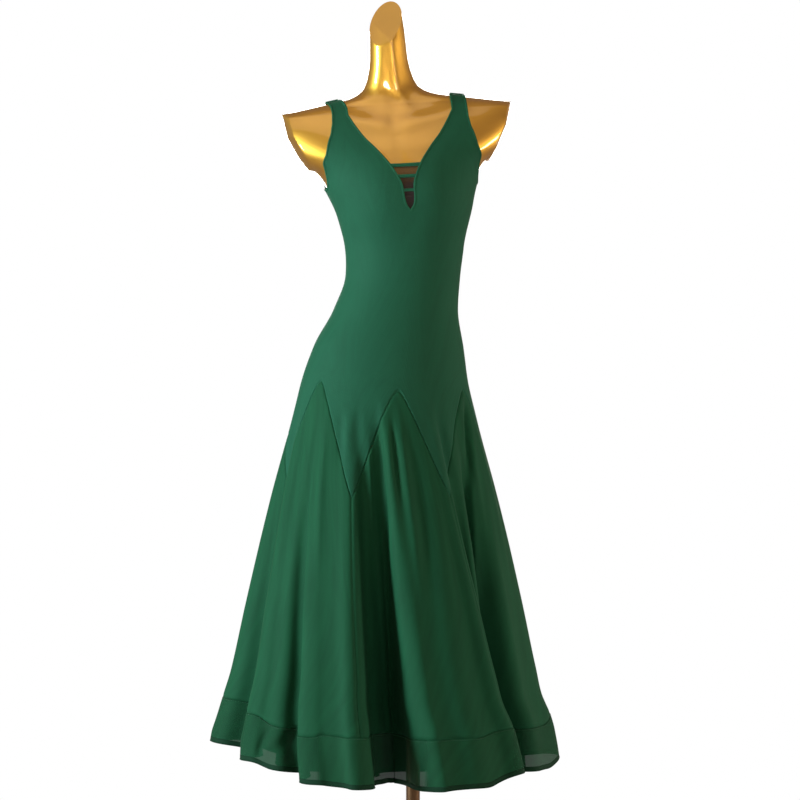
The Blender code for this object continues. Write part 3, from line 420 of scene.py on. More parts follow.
def round_the_hem(table, angle):
    """A height read from a table of angle and height, eased between its rows."""
    turned = (angle - table[0, 0]) % 360.0 + table[0, 0]
    index = np.clip(np.searchsorted(table[:, 0], turned) - 1, 0, len(table) - 2)
    low, high = table[index], table[index + 1]
    share = ease((turned - low[..., 0]) / (high[..., 0] - low[..., 0]))
    return low[..., 1] + (high[..., 1] - low[..., 1]) * share


def hem_height(angle):
    return round_the_hem(HEM_HEIGHTS, angle)


def hem_depth(angle):
    return round_the_hem(HEM_DEPTHS, angle)


def columns_between(first, last, step):
    """Angles from one seam to the next that meet every corner of the pointed seam, closer
    together beside the ends."""
    corners = {turn + a for a, _, _ in CORNERS for turn in (-360.0, 0.0, 360.0)}
    keys = sorted({first, last} | {a for a in corners if first + 1e-6 < a < last - 1e-6})
    angles = [first]
    for low, high in zip(keys, keys[1:]):
        parts = max(2, round((high - low) / step))
        angles += [low + (high - low) * (part + 1) / parts for part in range(parts)]
    near = [share * step for share in (0.18, 0.45)]
    return np.array(sorted(angles + [first + gap for gap in near] + [last - gap for gap in near]))


# --- Making pieces --------------------------------------------------------------------------


def mesh_of(bm, name):
    """The mesh of a bmesh, which is freed."""
    mesh = bpy.data.meshes.new(name)
    bm.to_mesh(mesh)
    bm.free()
    return mesh


def bmesh_of(*meshes):
    """A bmesh of meshes, which are removed."""
    bm = bmesh.new()
    for mesh in meshes:
        bm.from_mesh(mesh)
        bpy.data.meshes.remove(mesh)
    return bm


def grid_mesh(columns, rows):
    """An even grid, with the column and the row of each of its points."""
    bm = bmesh.new()
    bmesh.ops.create_grid(bm, x_segments=columns - 1, y_segments=rows - 1, size=0.5)
    mesh = mesh_of(bm, "grid")
    place = np.empty(len(mesh.vertices) * 3, np.float32)
    mesh.vertices.foreach_get("co", place)
    place = place.reshape(-1, 3) + 0.5
    column = np.rint(place[:, 0] * (columns - 1)).astype(int)
    row = np.rint(place[:, 1] * (rows - 1)).astype(int)
    return mesh, column, row


def run_lengths(points, axis):
    """Distance along a grid's lines, from its first line on."""
    steps = np.linalg.norm(np.diff(points, axis=axis), axis=-1)
    start = np.zeros_like(np.take(steps, [0], axis=axis))
    return np.concatenate((start, np.cumsum(steps, axis=axis)), axis=axis)


def laid_grid(points):
    """A grid laid on points (rows, columns, 3), its UV map in metres along the cloth."""
    rows, columns = points.shape[:2]
    mesh, column, row = grid_mesh(columns, rows)
    mesh.vertices.foreach_set("co", points[row, column].astype(np.float32).ravel())
    pattern = np.stack((run_lengths(points, 1), run_lengths(points, 0)), axis=-1)
    corner = np.empty(len(mesh.loops), np.int32)
    mesh.loops.foreach_get("vertex_index", corner)
    uv = pattern[row, column][corner].astype(np.float32).ravel()
    mesh.uv_layers.new(name="cloth")
    mesh.uv_layers["cloth"].data.foreach_set("uv", uv)
    mesh.update()
    return mesh


def add_piece(name, mesh, finish, nodes=(), thickness=0.0, sharp=None):
    """A finished piece that rides on the body, with its finish, and a wall where it has one."""
    mesh.name = name
    mesh.shade_smooth()
    if sharp:
        mesh.set_sharp_from_angle(angle=math.radians(sharp))
    mesh.materials.clear()
    mesh.materials.append(finish)
    obj = bpy.data.objects.new(name, mesh)
    bpy.context.scene.collection.objects.link(obj)
    if thickness:
        wall = obj.modifiers.new("wall", "SOLIDIFY")
        wall.thickness = thickness
        wall.offset = -1.0
    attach(obj, BODY)
    if nodes:
        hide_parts(*nodes)
    return obj


def swept(line, across, up, places):
    """A grid of points that a section of (across, up) places sweeps along a line."""
    places = np.array(places)[:, :, None, None]
    return line[None] + places[:, 0] * across[None] + places[:, 1] * up[None]


def ring_mesh(centres, across, up, profile):
    """A closed tube through centres, its section a ring of (across, up) places."""
    bm = bmesh_of(laid_grid(swept(centres, across, up, [*profile, profile[0]])))
    bmesh.ops.remove_doubles(bm, verts=bm.verts, dist=1e-7)
    ends = [edge for edge in bm.edges if edge.is_boundary]
    if ends:
        bmesh.ops.holes_fill(bm, edges=ends, sides=0)
    bmesh.ops.recalc_face_normals(bm, faces=bm.faces)
    return mesh_of(bm, "tube")


def round_profile(wide, thick, corners):
    """A flattened round section."""
    turns = [2.0 * math.pi * step / corners for step in range(corners)]
    return [(wide * math.cos(turn), thick * math.sin(turn)) for turn in turns]


def along(points):
    """Directions along a line of points."""
    return unit(np.gradient(points, axis=0))


def evenly(points, pitch, *others):
    """Points of a line, and what goes with them, at an even pitch."""
    run = run_lengths(points, 0)
    count = max(2, int(round(run[-1] / pitch)))
    wanted = np.linspace(0.0, run[-1], count)
    found = []
    for values in (points, *others):
        found.append(np.stack([np.interp(wanted, run, values[:, k]) for k in range(3)], axis=-1))
    return found


# --- Finishes -------------------------------------------------------------------------------


def linear(hex_colour):
    """An sRGB hex colour as linear light."""
    channels = [int(hex_colour[place:place + 2], 16) / 255.0 for place in (1, 3, 5)]
    return (*[c / 12.92 if c <= 0.04045 else ((c + 0.055) / 1.055) ** 2.4 for c in channels], 1.0)


def add_node(tree, kind, inputs=None, **settings):
    """Adds a node with its settings; an input is a value, or a socket that it is linked from."""
    made = tree.nodes.new(kind)
    for name, value in settings.items():
        setattr(made, name, value)
    for socket, value in (inputs or {}).items():
        if isinstance(value, bpy.types.NodeSocket):
            tree.links.new(value, made.inputs[socket])
        else:
            made.inputs[socket].default_value = value
    return made


def new_finish(name, **sockets):
    """A material with a Principled shader, its plain values set on the shader's own sockets."""
    made = bpy.data.materials.new(name)
    made.use_nodes = True
    shader = made.node_tree.nodes["Principled BSDF"]
    for socket, value in sockets.items():
        shader.inputs[socket.replace("_", " ")].default_value = value
    return made, made.node_tree, shader


def link_to(tree, shader, **sockets):
    """Links patterns to the shader's sockets."""
    for socket, value in sockets.items():
        tree.links.new(value, shader.inputs[socket.replace("_", " ")])


def mottled(tree, position, hex_colour, scale, spread):
    """A colour that wanders a little lighter and darker over the surface."""
    noise = add_node(tree, "ShaderNodeTexNoise", {
        "Vector": position, "Scale": scale, "Detail": 3.0})
    ramp = add_node(tree, "ShaderNodeMapRange", {
        "Value": noise.outputs["Fac"], "From Min": 0.3, "From Max": 0.7,
        "To Min": 1.0 - spread, "To Max": 1.0 + spread,
    })
    return add_node(tree, "ShaderNodeVectorMath", {
        0: linear(hex_colour)[:3], "Scale": ramp.outputs[0],
    }, operation="SCALE").outputs[0]


def knitted_jersey(name, hex_colour):
    """Stretch jersey knitted in fine upright ribs: matt, with a soft sheen where it turns away.
    The real ribs are 0.4 mm apart, too fine to show. They are drawn as faint waves, the ribs
    10 mm apart and the courses across them 14 mm."""
    made, tree, shader = new_finish(
        name, Roughness=0.78, Sheen_Weight=0.03, Sheen_Roughness=0.45,
        Sheen_Tint=linear("#9CCFB0"), Specular_IOR_Level=0.16)
    uv = add_node(tree, "ShaderNodeUVMap", uv_map="cloth").outputs[0]
    ribs, courses = [
        add_node(tree, "ShaderNodeTexWave", {
            "Vector": uv, "Scale": scale, "Distortion": bend, "Detail": 1.0, "Detail Scale": 2.0,
        }, wave_type="BANDS", bands_direction=way).outputs["Fac"]
        for scale, bend, way in ((31.25, 0.6, "X"), (1.0 / 0.044, 0.8, "Y"))]
    both = add_node(tree, "ShaderNodeMath", {0: ribs, 1: courses}, operation="MULTIPLY")
    bump = add_node(tree, "ShaderNodeBump", {
        "Height": both.outputs[0], "Strength": 0.22, "Distance": 0.0004})
    colour = mottled(tree, uv, hex_colour, 26.0, 0.07)
    link_to(tree, shader, Base_Color=colour, Normal=bump.outputs[0])
    return made


def opacity_across(tree, alpha):
    """Opacity of the single layer at the hem: full on two front lobes, painted shade for the dark
    skirt behind them.
    """
    position = add_node(tree, "ShaderNodeTexCoord").outputs["Object"]
    parts = add_node(tree, "ShaderNodeSeparateXYZ", {0: position})
    start, end = HEM_SPAN
    place = add_node(tree, "ShaderNodeMapRange", {
        "Value": parts.outputs["X"], "From Min": start, "From Max": end})
    ramp = add_node(tree, "ShaderNodeValToRGB", {0: place.outputs[0]})
    stops = ramp.color_ramp.elements
    stops[0].color = stops[1].color = (alpha, alpha, alpha, 1.0)
    # Full opacity on these lobes is painted shade: it hides the lit inside where the skirt behind
    # lies dark.
    for low, high in OPAQUE_LOBES:
        edges = ((low - OPAQUE_FADE, alpha), (low, 1.0), (high, 1.0), (high + OPAQUE_FADE, alpha))
        for x, level in edges:
            stops.new((x - start) / (end - start)).color = (level, level, level, 1.0)
    return ramp.outputs[0]


def crepe_chiffon(name, hex_colour, alpha=1.0):
    """Chiffon woven of twisted thread: a fine grainy surface with little shine, sheer where it is
    a single layer. The real grain is 0.3 mm; it is drawn at 1.2 mm so that it can show."""
    made, tree, shader = new_finish(
        name, Roughness=0.78, Sheen_Weight=0.03, Sheen_Roughness=0.5,
        Sheen_Tint=linear("#8FD0AA"), Specular_IOR_Level=0.14)
    if alpha < 1.0:
        link_to(tree, shader, Alpha=opacity_across(tree, alpha))
    uv = add_node(tree, "ShaderNodeUVMap", uv_map="cloth").outputs[0]
    streaks = add_node(tree, "ShaderNodeMapping", {"Vector": uv, "Scale": (1.0, 0.16, 1.0)})
    colour = mottled(tree, streaks.outputs[0], hex_colour, 60.0, 0.10)
    grain = add_node(tree, "ShaderNodeTexNoise", {
        "Vector": uv, "Scale": 1.0 / 0.0012, "Detail": 2.0})
    bump = add_node(tree, "ShaderNodeBump", {
        "Height": grain.outputs["Fac"], "Strength": 0.18, "Distance": 0.0004})
    link_to(tree, shader, Base_Color=colour, Normal=bump.outputs[0])
    return made


def sheer_mesh(name):
    """Fine dark net: threads in a lattice, close at the point of the keyhole and ever more open
    towards the top, where the gold behind shows through. Its dark colours and its closing towards
    the point are partly painted shade, for the shade deep in the opening. The real mesh is 0.5 mm;
    it is drawn at 1.5 mm so that it can show."""
    made, tree, shader = new_finish(name, Roughness=0.75)
    uv = add_node(tree, "ShaderNodeUVMap", uv_map="cloth").outputs[0]
    parts = add_node(tree, "ShaderNodeSeparateXYZ", {0: uv})
    height = INSET_HIGH - INSET_LOW
    # The net closing towards the point of the keyhole is painted shade of the deep opening.
    shade_closeness = add_node(tree, "ShaderNodeMapRange", {
        "Value": parts.outputs["Y"], "From Min": 0.35 * height, "From Max": 0.95 * height,
        "To Min": 0.90, "To Max": 0.36,
    }, interpolation_type="SMOOTHSTEP")
    cells = add_node(tree, "ShaderNodeTexVoronoi", {
        "Vector": uv, "Scale": 1.0 / 0.0015, "Randomness": 0.15}, feature="DISTANCE_TO_EDGE")
    holes = add_node(tree, "ShaderNodeMapRange", {
        "Value": cells.outputs["Distance"], "From Max": 0.35})
    # Both thread colours are near black: the net's own dark with painted shade laid over it.
    mixed = add_node(tree, "ShaderNodeMix", {
        "Factor": holes.outputs[0], "A": linear("#140806"), "B": linear("#301410"),
    }, data_type="RGBA")
    link_to(tree, shader, Base_Color=mixed.outputs["Result"], Alpha=shade_closeness.outputs[0])
    return made


def gold_lacquer(name):
    """Metallic gold sprayed over a hard shell under clear lacquer: a broad warm shine from the
    metal with sharp white lights on top, and the faint orange peel of a sprayed coat. The flakes
    are drawn at 1.6 mm so that they can show, the peel at its real 10 mm."""
    made, tree, shader = new_finish(
        name, Metallic=1.0, Roughness=0.44, Coat_Weight=1.0, Coat_Roughness=0.06, Coat_IOR=1.6)
    position = add_node(tree, "ShaderNodeTexCoord").outputs["Object"]
    bumps = []
    for size, strength, distance in ((0.0016, 0.06, 0.0003), (0.010, 0.05, 0.0006)):
        grain = add_node(tree, "ShaderNodeTexNoise", {
            "Vector": position, "Scale": 1.0 / size, "Detail": 1.0})
        bumps.append(add_node(tree, "ShaderNodeBump", {
            "Height": grain.outputs["Fac"], "Strength": strength, "Distance": distance}).outputs[0])
    colour = mottled(tree, position, "#E4A942", 14.0, 0.04)
    link_to(tree, shader, Base_Color=colour, Normal=bumps[0], Coat_Normal=bumps[1])
    return made


def drawn_tube(name, hex_colour, roughness):
    """Metal drawn through a die: fine scratches along it, about 1 mm apart, and a satin shine."""
    made, tree, shader = new_finish(name, Metallic=1.0, Roughness=roughness)
    position = add_node(tree, "ShaderNodeTexCoord").outputs["Object"]
    stretched = add_node(tree, "ShaderNodeMapping", {"Vector": position, "Scale": (1.0, 1.0, 0.03)})
    lines = add_node(tree, "ShaderNodeTexNoise", {
        "Vector": stretched.outputs[0], "Scale": 900.0, "Detail": 2.0})
    rough = add_node(tree, "ShaderNodeMapRange", {
        "Value": lines.outputs["Fac"], "To Min": roughness - 0.08, "To Max": roughness + 0.12})
    colour = mottled(tree, position, hex_colour, 30.0, 0.08)
    link_to(tree, shader, Base_Color=colour, Roughness=rough.outputs[0])
    return made


def spun_thread(name, hex_colour):
    """Polyester sewing thread: smooth, with a light twist, drawn 5 mm long."""
    made, tree, shader = new_finish(name, Roughness=0.45)
    position = add_node(tree, "ShaderNodeTexCoord").outputs["Object"]
    twist = add_node(tree, "ShaderNodeTexWave", {"Vector": position, "Scale": 62.5},
                     bands_direction="DIAGONAL")
    bump = add_node(tree, "ShaderNodeBump", {
        "Height": twist.outputs["Fac"], "Strength": 0.3, "Distance": 0.0001})
    colour = mottled(tree, position, hex_colour, 200.0, 0.08)
    link_to(tree, shader, Base_Color=colour, Normal=bump.outputs[0])
    return made


def finish_of(name):
    """The finish of that name, made once."""
    found = bpy.data.materials.get(name)
    if found:
        return found
    colours = bpy.context.scene.dance_dress_colours
    makers = {
        "jersey_knit": lambda: knitted_jersey(name, "#184D36"),
        "chiffon_crepe": lambda: crepe_chiffon(name, "#12462C"),
        "chiffon_sheer": lambda: crepe_chiffon(name, "#124329", colours.sheerness),
        "binding_jersey": lambda: knitted_jersey(name, "#1A5239"),
        "hem_edge_satin": lambda: crepe_chiffon(name, "#0B2E1B"),
        "net_with_painted_shade": lambda: sheer_mesh(name),
        "gold_lacquer": lambda: gold_lacquer(name),
        "pole_bronze": lambda: drawn_tube(name, "#6B4E38", 0.36),
        "base_steel": lambda: drawn_tube(name, "#97928C", 0.34),
        "thread_green": lambda: spun_thread(name, "#1E5138"),
    }
    return makers[name]()


# --- Bodice ---------------------------------------------------------------------------------

POINTED_ROWS, CHEST_ROWS, JOIN_ROWS, EDGE_ROWS, ARCH_ROWS = 46, 40, 10, 60, 22
SHELL, FOLD_SHELL = 0.0006, 0.0004
GODET_ROWS, HEM_ROWS = 96, 26
# How the godets' rows crowd towards the point, how weakly the hem's seam draws the cloth in
ROWS_CROWD, HEM_DIP = 1.25, 0.4
EDGES_FROM = POINTED_ROWS + CHEST_ROWS + JOIN_ROWS
SEAM_DIP, SEAM_DIP_REACH = 0.0016, 0.0022
# Share of a height at the pointed seam that lies square to it
POINTED_SLOPE = 0.6
WELD = 0.00002


def dip_at(distance):
    """How far the cloth is drawn in at a distance from a seam, as a share."""
    return np.exp(-((distance / SEAM_DIP_REACH) ** 2))


def bodice_half(side, front):
    """Angle and height of each point of half the front or back, rows from the bottom up and
    columns in the order of their angle, and which column is the middle line."""
    edges = FRONT_EDGES if front else BACK_EDGES
    if front:
        world = columns_between(*((0.0, 90.0) if side > 0 else (-90.0, 0.0)), COLUMN_STEP)
        local = np.abs(world)
    else:
        world = columns_between(*((90.0, 180.0) if side > 0 else (180.0, 270.0)), COLUMN_STEP)
        local = np.abs(180.0 - world)
    share = local / 90.0
    low = chevron(world)
    up = (np.arange(POINTED_ROWS) / POINTED_ROWS)[:, None] ** 1.5
    places = [(local, low + (HIP_LINE - low) * up)]
    chest = np.linspace(HIP_LINE, CHEST_TOP, CHEST_ROWS, endpoint=False)[:, None]
    places.append((local, chest))
    first_row = edges[0, 1] + (edges[0, 3] - edges[0, 1]) * share
    join = np.linspace(0.0, 1.0, JOIN_ROWS, endpoint=False)[:, None]
    places.append((local, CHEST_TOP + (first_row - CHEST_TOP) * join))
    numbered = np.column_stack((np.arange(len(edges)), edges))
    at = np.linspace(0.0, len(edges) - 1.0, EDGE_ROWS)
    neck_x, neck_z, arm, arm_z = read_curves(numbered, row_slopes(numbered), at)
    neck = angle_of(neck_x, neck_z, front)
    places.append([start[:, None] + (end - start)[:, None] * share
                   for start, end in ((neck, arm), (neck_z, arm_z))])
    start = places[-1][0][-1]
    t = (np.arange(1, ARCH_ROWS + 1) / ARCH_ROWS)[:, None]
    inner = neck_x[-1] + (STRAP_INNER - neck_x[-1]) * t
    outer = distance_at(arm[-1:], arm_z[-1:], front) * (1.0 - t) + STRAP_OUTER * t
    x = inner + (outer - inner) * share
    angle = start + (90.0 - start) * t
    places.append((angle, shoulder_height(x, angle, front)))
    places = [np.broadcast_arrays(*place) for place in places]
    local_angle, z = [np.concatenate(part) for part in zip(*places)]
    world_angle = side * local_angle if front else 180.0 - side * local_angle
    return world_angle, z, local, low


def bodice_points(side, front, out=CLOTH_OUT):
    """Points of half a bodice piece, drawn in along its pointed and side seams."""
    angle, z, local, low = bodice_half(side, front)
    from_side = np.radians(np.abs(90.0 - local)) * section(z)[2]
    dip = dip_at(np.abs(z - low) * POINTED_SLOPE)
    below_armhole = (np.arange(len(z)) <= EDGES_FROM)[:, None]
    dip = np.maximum(dip, dip_at(from_side) * below_armhole)
    return cloth(angle, z, out - SEAM_DIP * dip)


def bodice_edge(side, front, which):
    """The neck or armhole edge of half a bodice piece: its points, and the directions out of and
    into the cloth."""
    angle, z, local, _ = bodice_half(side, front)
    middle = int(np.argmin(local))
    last = len(local) - 1
    edge = middle if which == "neck" else last - middle
    beside = edge + (4 if edge == 0 else -4)
    rows = slice(EDGES_FROM, None)
    points = cloth(angle[rows, edge], z[rows, edge], CLOTH_OUT)
    within = cloth(angle[rows, beside], z[rows, beside], CLOTH_OUT) - points
    out = facing(angle[rows, edge], z[rows, edge])
    tangent = along(points)
    for direction in (out, tangent):
        within = within - np.sum(within * direction, axis=-1, keepdims=True) * direction
    return points, out, unit(within)


# Section of a folded edge binding, from its inside to its outside: into the cloth, out of it
BINDING_SECTION = (
    (0.0022, -0.0008), (0.0008, -0.0009), (0.0, -0.0008), (-0.0004, -0.0004), (-0.0004, 0.0),
    (-0.0001, 0.0003), (0.0005, 0.0004), (0.0012, 0.0003), (0.0019, 0.0003), (0.0024, 0.0002),
    (0.0026, -0.0001),
)


def whole_neck(front):
    """Both halves of a neck edge as one line, from the right shoulder to the left."""
    right, left = bodice_edge(-1, front, "neck"), bodice_edge(1, front, "neck")
    lines = []
    for number, (one, other) in enumerate(zip(right, left)):
        middle = (one[:1] + other[:1]) / 2.0
        if number == 2:
            middle = np.array([[0.0, 0.0, -1.0]])
        lines.append(np.concatenate((one[:0:-1], middle, other[1:])))
    lines[2] = unit(lines[2])
    return lines


def stitch_row(name, points, out, pitch, length, thread, finish):
    """A row of sewn stitches, each a short bead of thread pulled into the cloth at its ends."""
    points, out = evenly(points, pitch, out)
    ahead = along(points)
    bm = bmesh.new()
    for point, up, forward in zip(points, unit(out), ahead):
        aside = np.cross(up, forward)
        turn = Matrix((forward * length / 2.0, aside * thread, up * thread)).transposed().to_4x4()
        turn.translation = Vector(point)
        bmesh.ops.create_uvsphere(bm, u_segments=6, v_segments=4, radius=1.0, matrix=turn)
    return add_piece(name, mesh_of(bm, name), finish)


# --- Settings -------------------------------------------------------------------------------


class DanceDressSizes(bpy.types.PropertyGroup):
    shell: FloatProperty(
        name="Cloth thickness", description="Thickness of the cloth shells", default=SHELL,
        unit="LENGTH")
    stitch_length: FloatProperty(
        name="Stitch length", description="Length of one stitch of the sewn edges", default=0.003,
        unit="LENGTH")
    thread: FloatProperty(
        name="Thread radius", description="Half the thickness of the sewing thread",
        default=0.00032, unit="LENGTH")
    edge_radius: FloatProperty(
        name="Rolled edge", description="Radius of the rolled edge at the very hem", default=0.0013,
        unit="LENGTH")


class DanceDressColours(bpy.types.PropertyGroup):
    sheerness: FloatProperty(
        name="Hem opacity",
        description="Opacity of each side of the single chiffon layer at the hem",
        default=0.81, min=0.0, max=1.0, subtype="FACTOR")
    stage: FloatVectorProperty(
        name="Stage", description="Colour of the floor", default=linear("#C8C6C1")[:3],
        subtype="COLOR", min=0.0, max=1.0)


def sewn_to_bodice(word):
    """Names of the bindings, stitches, strap folds and ladder bands on the front or back."""
    names = ["neck_binding_cloth_" + word, "neck_stitches_" + word]
    for hand in ("right", "left"):
        names += ["armhole_" + part + word + "_" + hand for part in ("binding_cloth_", "stitches_")]
    if word == "front":
        names += ["strap_fold_right", "strap_fold_left"]
        names += ["ladder_cloth_" + str(number) for number in (1, 2, 3)]
    return names


def torso_rows():
    """Heights of the torso's rows."""
    low, rows = FORM_BOTTOM, [[FORM_BOTTOM]]
    for high, count in TORSO_ROWS:
        rows.append(np.linspace(low, high, count)[1:])
        low = high
    return np.concatenate(rows)


def torso_cuts(z):
    """Half width of the shoulder cut at each height, and in front and behind the angle of its rim
    and the depth of its face."""
    _, _, half, front_depth, back_depth, square = section(z)
    cut = np.interp(z, SHOULDER_CUT[:, 0], SHOULDER_CUT[:, 1])
    rims, depths = [], []
    for front, whole, power in ((True, front_depth, 2.0 / square), (False, back_depth, 1.0)):
        crossing = angle_of(np.minimum(cut, half), z, front)
        rim = np.where(z > CAP_FROM, np.minimum(RIM_ANGLE_BELOW, crossing), RIM_ANGLE_BELOW)
        depth = np.maximum(LEAST_CUT_DEPTH, whole * np.cos(np.radians(crossing)) ** power)
        rims.append(rim[:, None])
        depths.append(depth[:, None])
    return cut[:, None], rims, depths


def torso_points():
    """Points of the torso: the figure, a little inside the cloth, with its shoulders cut."""
    z = torso_rows()
    cut, rims, depths = torso_cuts(z)
    shares = np.arange(COLUMNS_TO_RIM)[None] / COLUMNS_TO_RIM
    over = np.arange(COLUMNS_ACROSS_CAP)[None] / COLUMNS_ACROSS_CAP
    right = np.concatenate((
        rims[0] * shares, rims[0] + (90 - rims[0]) * over,
        90 + (90 - rims[1]) * over, 180 - rims[1] + rims[1] * shares), axis=1)
    half_turn = np.full((len(z), 1), 180.0)
    angle = np.concatenate((-half_turn, -right[:, :0:-1], right, half_turn), axis=1)
    height = np.broadcast_to(z[:, None], angle.shape)
    held = np.maximum(height, THIGH_TAPER_FROM)
    points = figure(angle, held)
    centre_x, centre_y = section(held)[:2]
    side, depth = points[..., 0] - centre_x, points[..., 1] - centre_y
    below = np.maximum(0.0, (THIGH_TAPER_FROM - height) / (THIGH_TAPER_FROM - FORM_BOTTOM))
    narrower = 1.0 - THIGH_TAPER * below**THIGH_TAPER_GROWTH
    side, depth = side * narrower, depth * narrower
    flush = ease((height - FORM_INSET_UNTIL) / (FORM_FLUSH_FROM - FORM_INSET_UNTIL))
    reach = np.hypot(side, depth)
    within = reach - FORM_INSET * (1.0 - flush)
    side, depth = side * within / reach, depth * within / reach
    in_front = depth < 0.0
    dome = 1.0 - (depth / np.where(in_front, *depths)) ** 2
    dome = CAP_DOME * np.maximum(0.0, dome) * ease((height - CAP_FROM) / CAP_DOME_RISE)
    beyond = (height > CAP_FROM) & (np.abs(side) > cut)
    side = np.where(beyond, np.copysign(cut + dome, side), side)
    for x1, z1, x2, z2, half_width, rise in FORM_RELIEF:
        run = np.array((x2 - x1, z2 - z1))
        share = ((side - x1) * run[0] + (height - z1) * run[1]) / (run @ run)
        share = np.clip(share, 0.0, 1.0)
        away = np.hypot(side - x1 - run[0] * share, height - z1 - run[1] * share)
        depth = depth - np.where(in_front, rise * np.exp(-0.5 * (away / half_width) ** 2), 0.0)
    lean = LEAN * ease((held - LEAN_FROM) / (LEAN_FULL - LEAN_FROM))
    return np.stack((centre_x + side, centre_y + depth, height + lean * side), axis=-1)


class DANCEDRESS_OT_torso(bpy.types.Operator):
    """Builds the glossy gold torso with its cut neck and shoulders"""

    bl_idname = "dance_dress.torso"
    bl_label = "Torso"

    def execute(self, context):
        bm = bmesh_of(laid_grid(torso_points()))
        bmesh.ops.remove_doubles(bm, verts=bm.verts, dist=1e-5)
        neck = {f for f in bm.faces if f.calc_center_median().z > NECK_FROM}
        edges, points = {e for f in neck for e in f.edges}, {v for f in neck for v in f.verts}
        bmesh.ops.bisect_plane(bm, geom=list(neck | edges | points), plane_co=NECK_CUT_POINT,
                               plane_no=NECK_CUT_NORMAL, clear_outer=True)
        bmesh.ops.holes_fill(bm, edges=[e for e in bm.edges if e.is_boundary], sides=0)
        bmesh.ops.recalc_face_normals(bm, faces=bm.faces)
        add_piece("torso_shell", mesh_of(bm, "torso_shell"), finish_of("gold_lacquer"),
                  ["display_torso"], sharp=42)
        return {"FINISHED"}


class DANCEDRESS_OT_bodice(bpy.types.Operator):
    """Builds the front and back of the bodice in plain jersey"""

    bl_idname = "dance_dress.bodice"
    bl_label = "Bodice"

    def execute(self, context):
        sizes = context.scene.dance_dress_sizes
        for word, front, flat, area in BODICE_CUTS:
            bm = bmesh_of(*[laid_grid(bodice_points(side, front)) for side in (-1, 1)])
            bmesh.ops.remove_doubles(bm, verts=bm.verts, dist=WELD)
            obj = add_piece("bodice_cloth_" + word, mesh_of(bm, "bodice"), finish_of("jersey_knit"),
                            ["bodice_" + word], sizes.shell)
            sewn_to_bodice(word)
        return {"FINISHED"}


class DANCEDRESS_OT_skirt(bpy.types.Operator):
    """Builds the six fluted godets of the skirt in chiffon"""

    bl_idname = "dance_dress.skirt"
    bl_label = "Godets"

    def execute(self, context):
        sizes = context.scene.dance_dress_sizes
        starts = [angle for angle, _ in BODICE_POINTS]
        for number, (place, width, length, area) in enumerate(GODETS):
            first = starts[number]
            last = starts[number + 1] if number + 1 < len(starts) else starts[0] + 360.0
            angle = columns_between(first, last, SKIRT_COLUMN_STEP)[None]
            rows = np.linspace(0.0, 1.0, GODET_ROWS)[:, None]
            share = 1.0 - (1.0 - rows) ** ROWS_CROWD
            low = hem_height(angle) + hem_depth(angle)
            high = chevron(angle)
            z = low + (high - low) * share
            from_side = np.radians(np.minimum(angle - first, last - angle)) * section(z)[2]
            dip = np.maximum(dip_at(from_side), dip_at((high - z) * POINTED_SLOPE))
            dip = np.maximum(dip, HEM_DIP * dip_at(z - low))
            points = cloth(np.broadcast_to(angle, z.shape), z, CLOTH_OUT - SEAM_DIP * dip)
            obj = add_piece("godet_cloth_" + place, laid_grid(points), finish_of("chiffon_crepe"),
                            ["godet_" + place], sizes.shell)
        return {"FINISHED"}


class DANCEDRESS_OT_hem(bpy.types.Operator):
    """Builds the deep stiffened hem bands with their rolled dark edge"""

    bl_idname = "dance_dress.hem"
    bl_label = "Hem bands"

    def execute(self, context):
        sizes = context.scene.dance_dress_sizes
        starts = [angle for angle, _ in BODICE_POINTS]
        # place, angles of its ends, length of the cut along the hem, area of the cut
        spans = (("front", starts[0], starts[3], 1.34, 0.1),
                 ("back", starts[3], starts[0] + 360.0, 1.39, 0.104))
        for word, first, last, long, area in spans:
            angle = columns_between(first, last, SKIRT_COLUMN_STEP)[None]
            share = np.linspace(0.0, 1.0, HEM_ROWS)[:, None]
            low, depth = hem_height(angle), hem_depth(angle)
            above = depth * share
            ripple = RIPPLE * np.sin(np.radians(angle * RIPPLES_A_TURN)) * ease(1.0 - above / depth)
            lip = LIP * ease(above / LIP_FROM) * ease((depth - above) / LIP_TO)
            points = cloth(np.broadcast_to(angle, above.shape), low + above,
                           CLOTH_OUT - HEM_INSET + lip + ripple)
            out = facing(angle[0], low[0])
            obj = add_piece("hem_cloth_" + word, laid_grid(points), finish_of("chiffon_sheer"),
                            ["hem_band_" + word], sizes.shell)
            rows = np.array(HEM_EDGE_ROWS)[:, None]
            narrow = cloth(np.broadcast_to(angle, (len(rows), angle.shape[1])), low + rows,
                           CLOTH_OUT + EDGE_OUT + ripple[:len(rows)])
            satin = finish_of("hem_edge_satin")
            add_piece("hem_edge_" + word, laid_grid(narrow), satin, (), FOLD_SHELL)
            radius = sizes.edge_radius
            roll = ring_mesh(points[0], unit(points[1] - points[0]), out,
                             round_profile(radius, radius, 8))
            add_piece("hem_roll_" + word, roll, satin)
            band_top = cloth(angle[0], low[0] + depth[0] - STITCHES_BELOW, CLOTH_OUT + EDGE_OUT)
            stitch_row("hem_stitches_" + word, band_top, out, sizes.stitch_length * 1.4,
                       sizes.stitch_length, sizes.thread, finish_of("thread_green"))
        return {"FINISHED"}


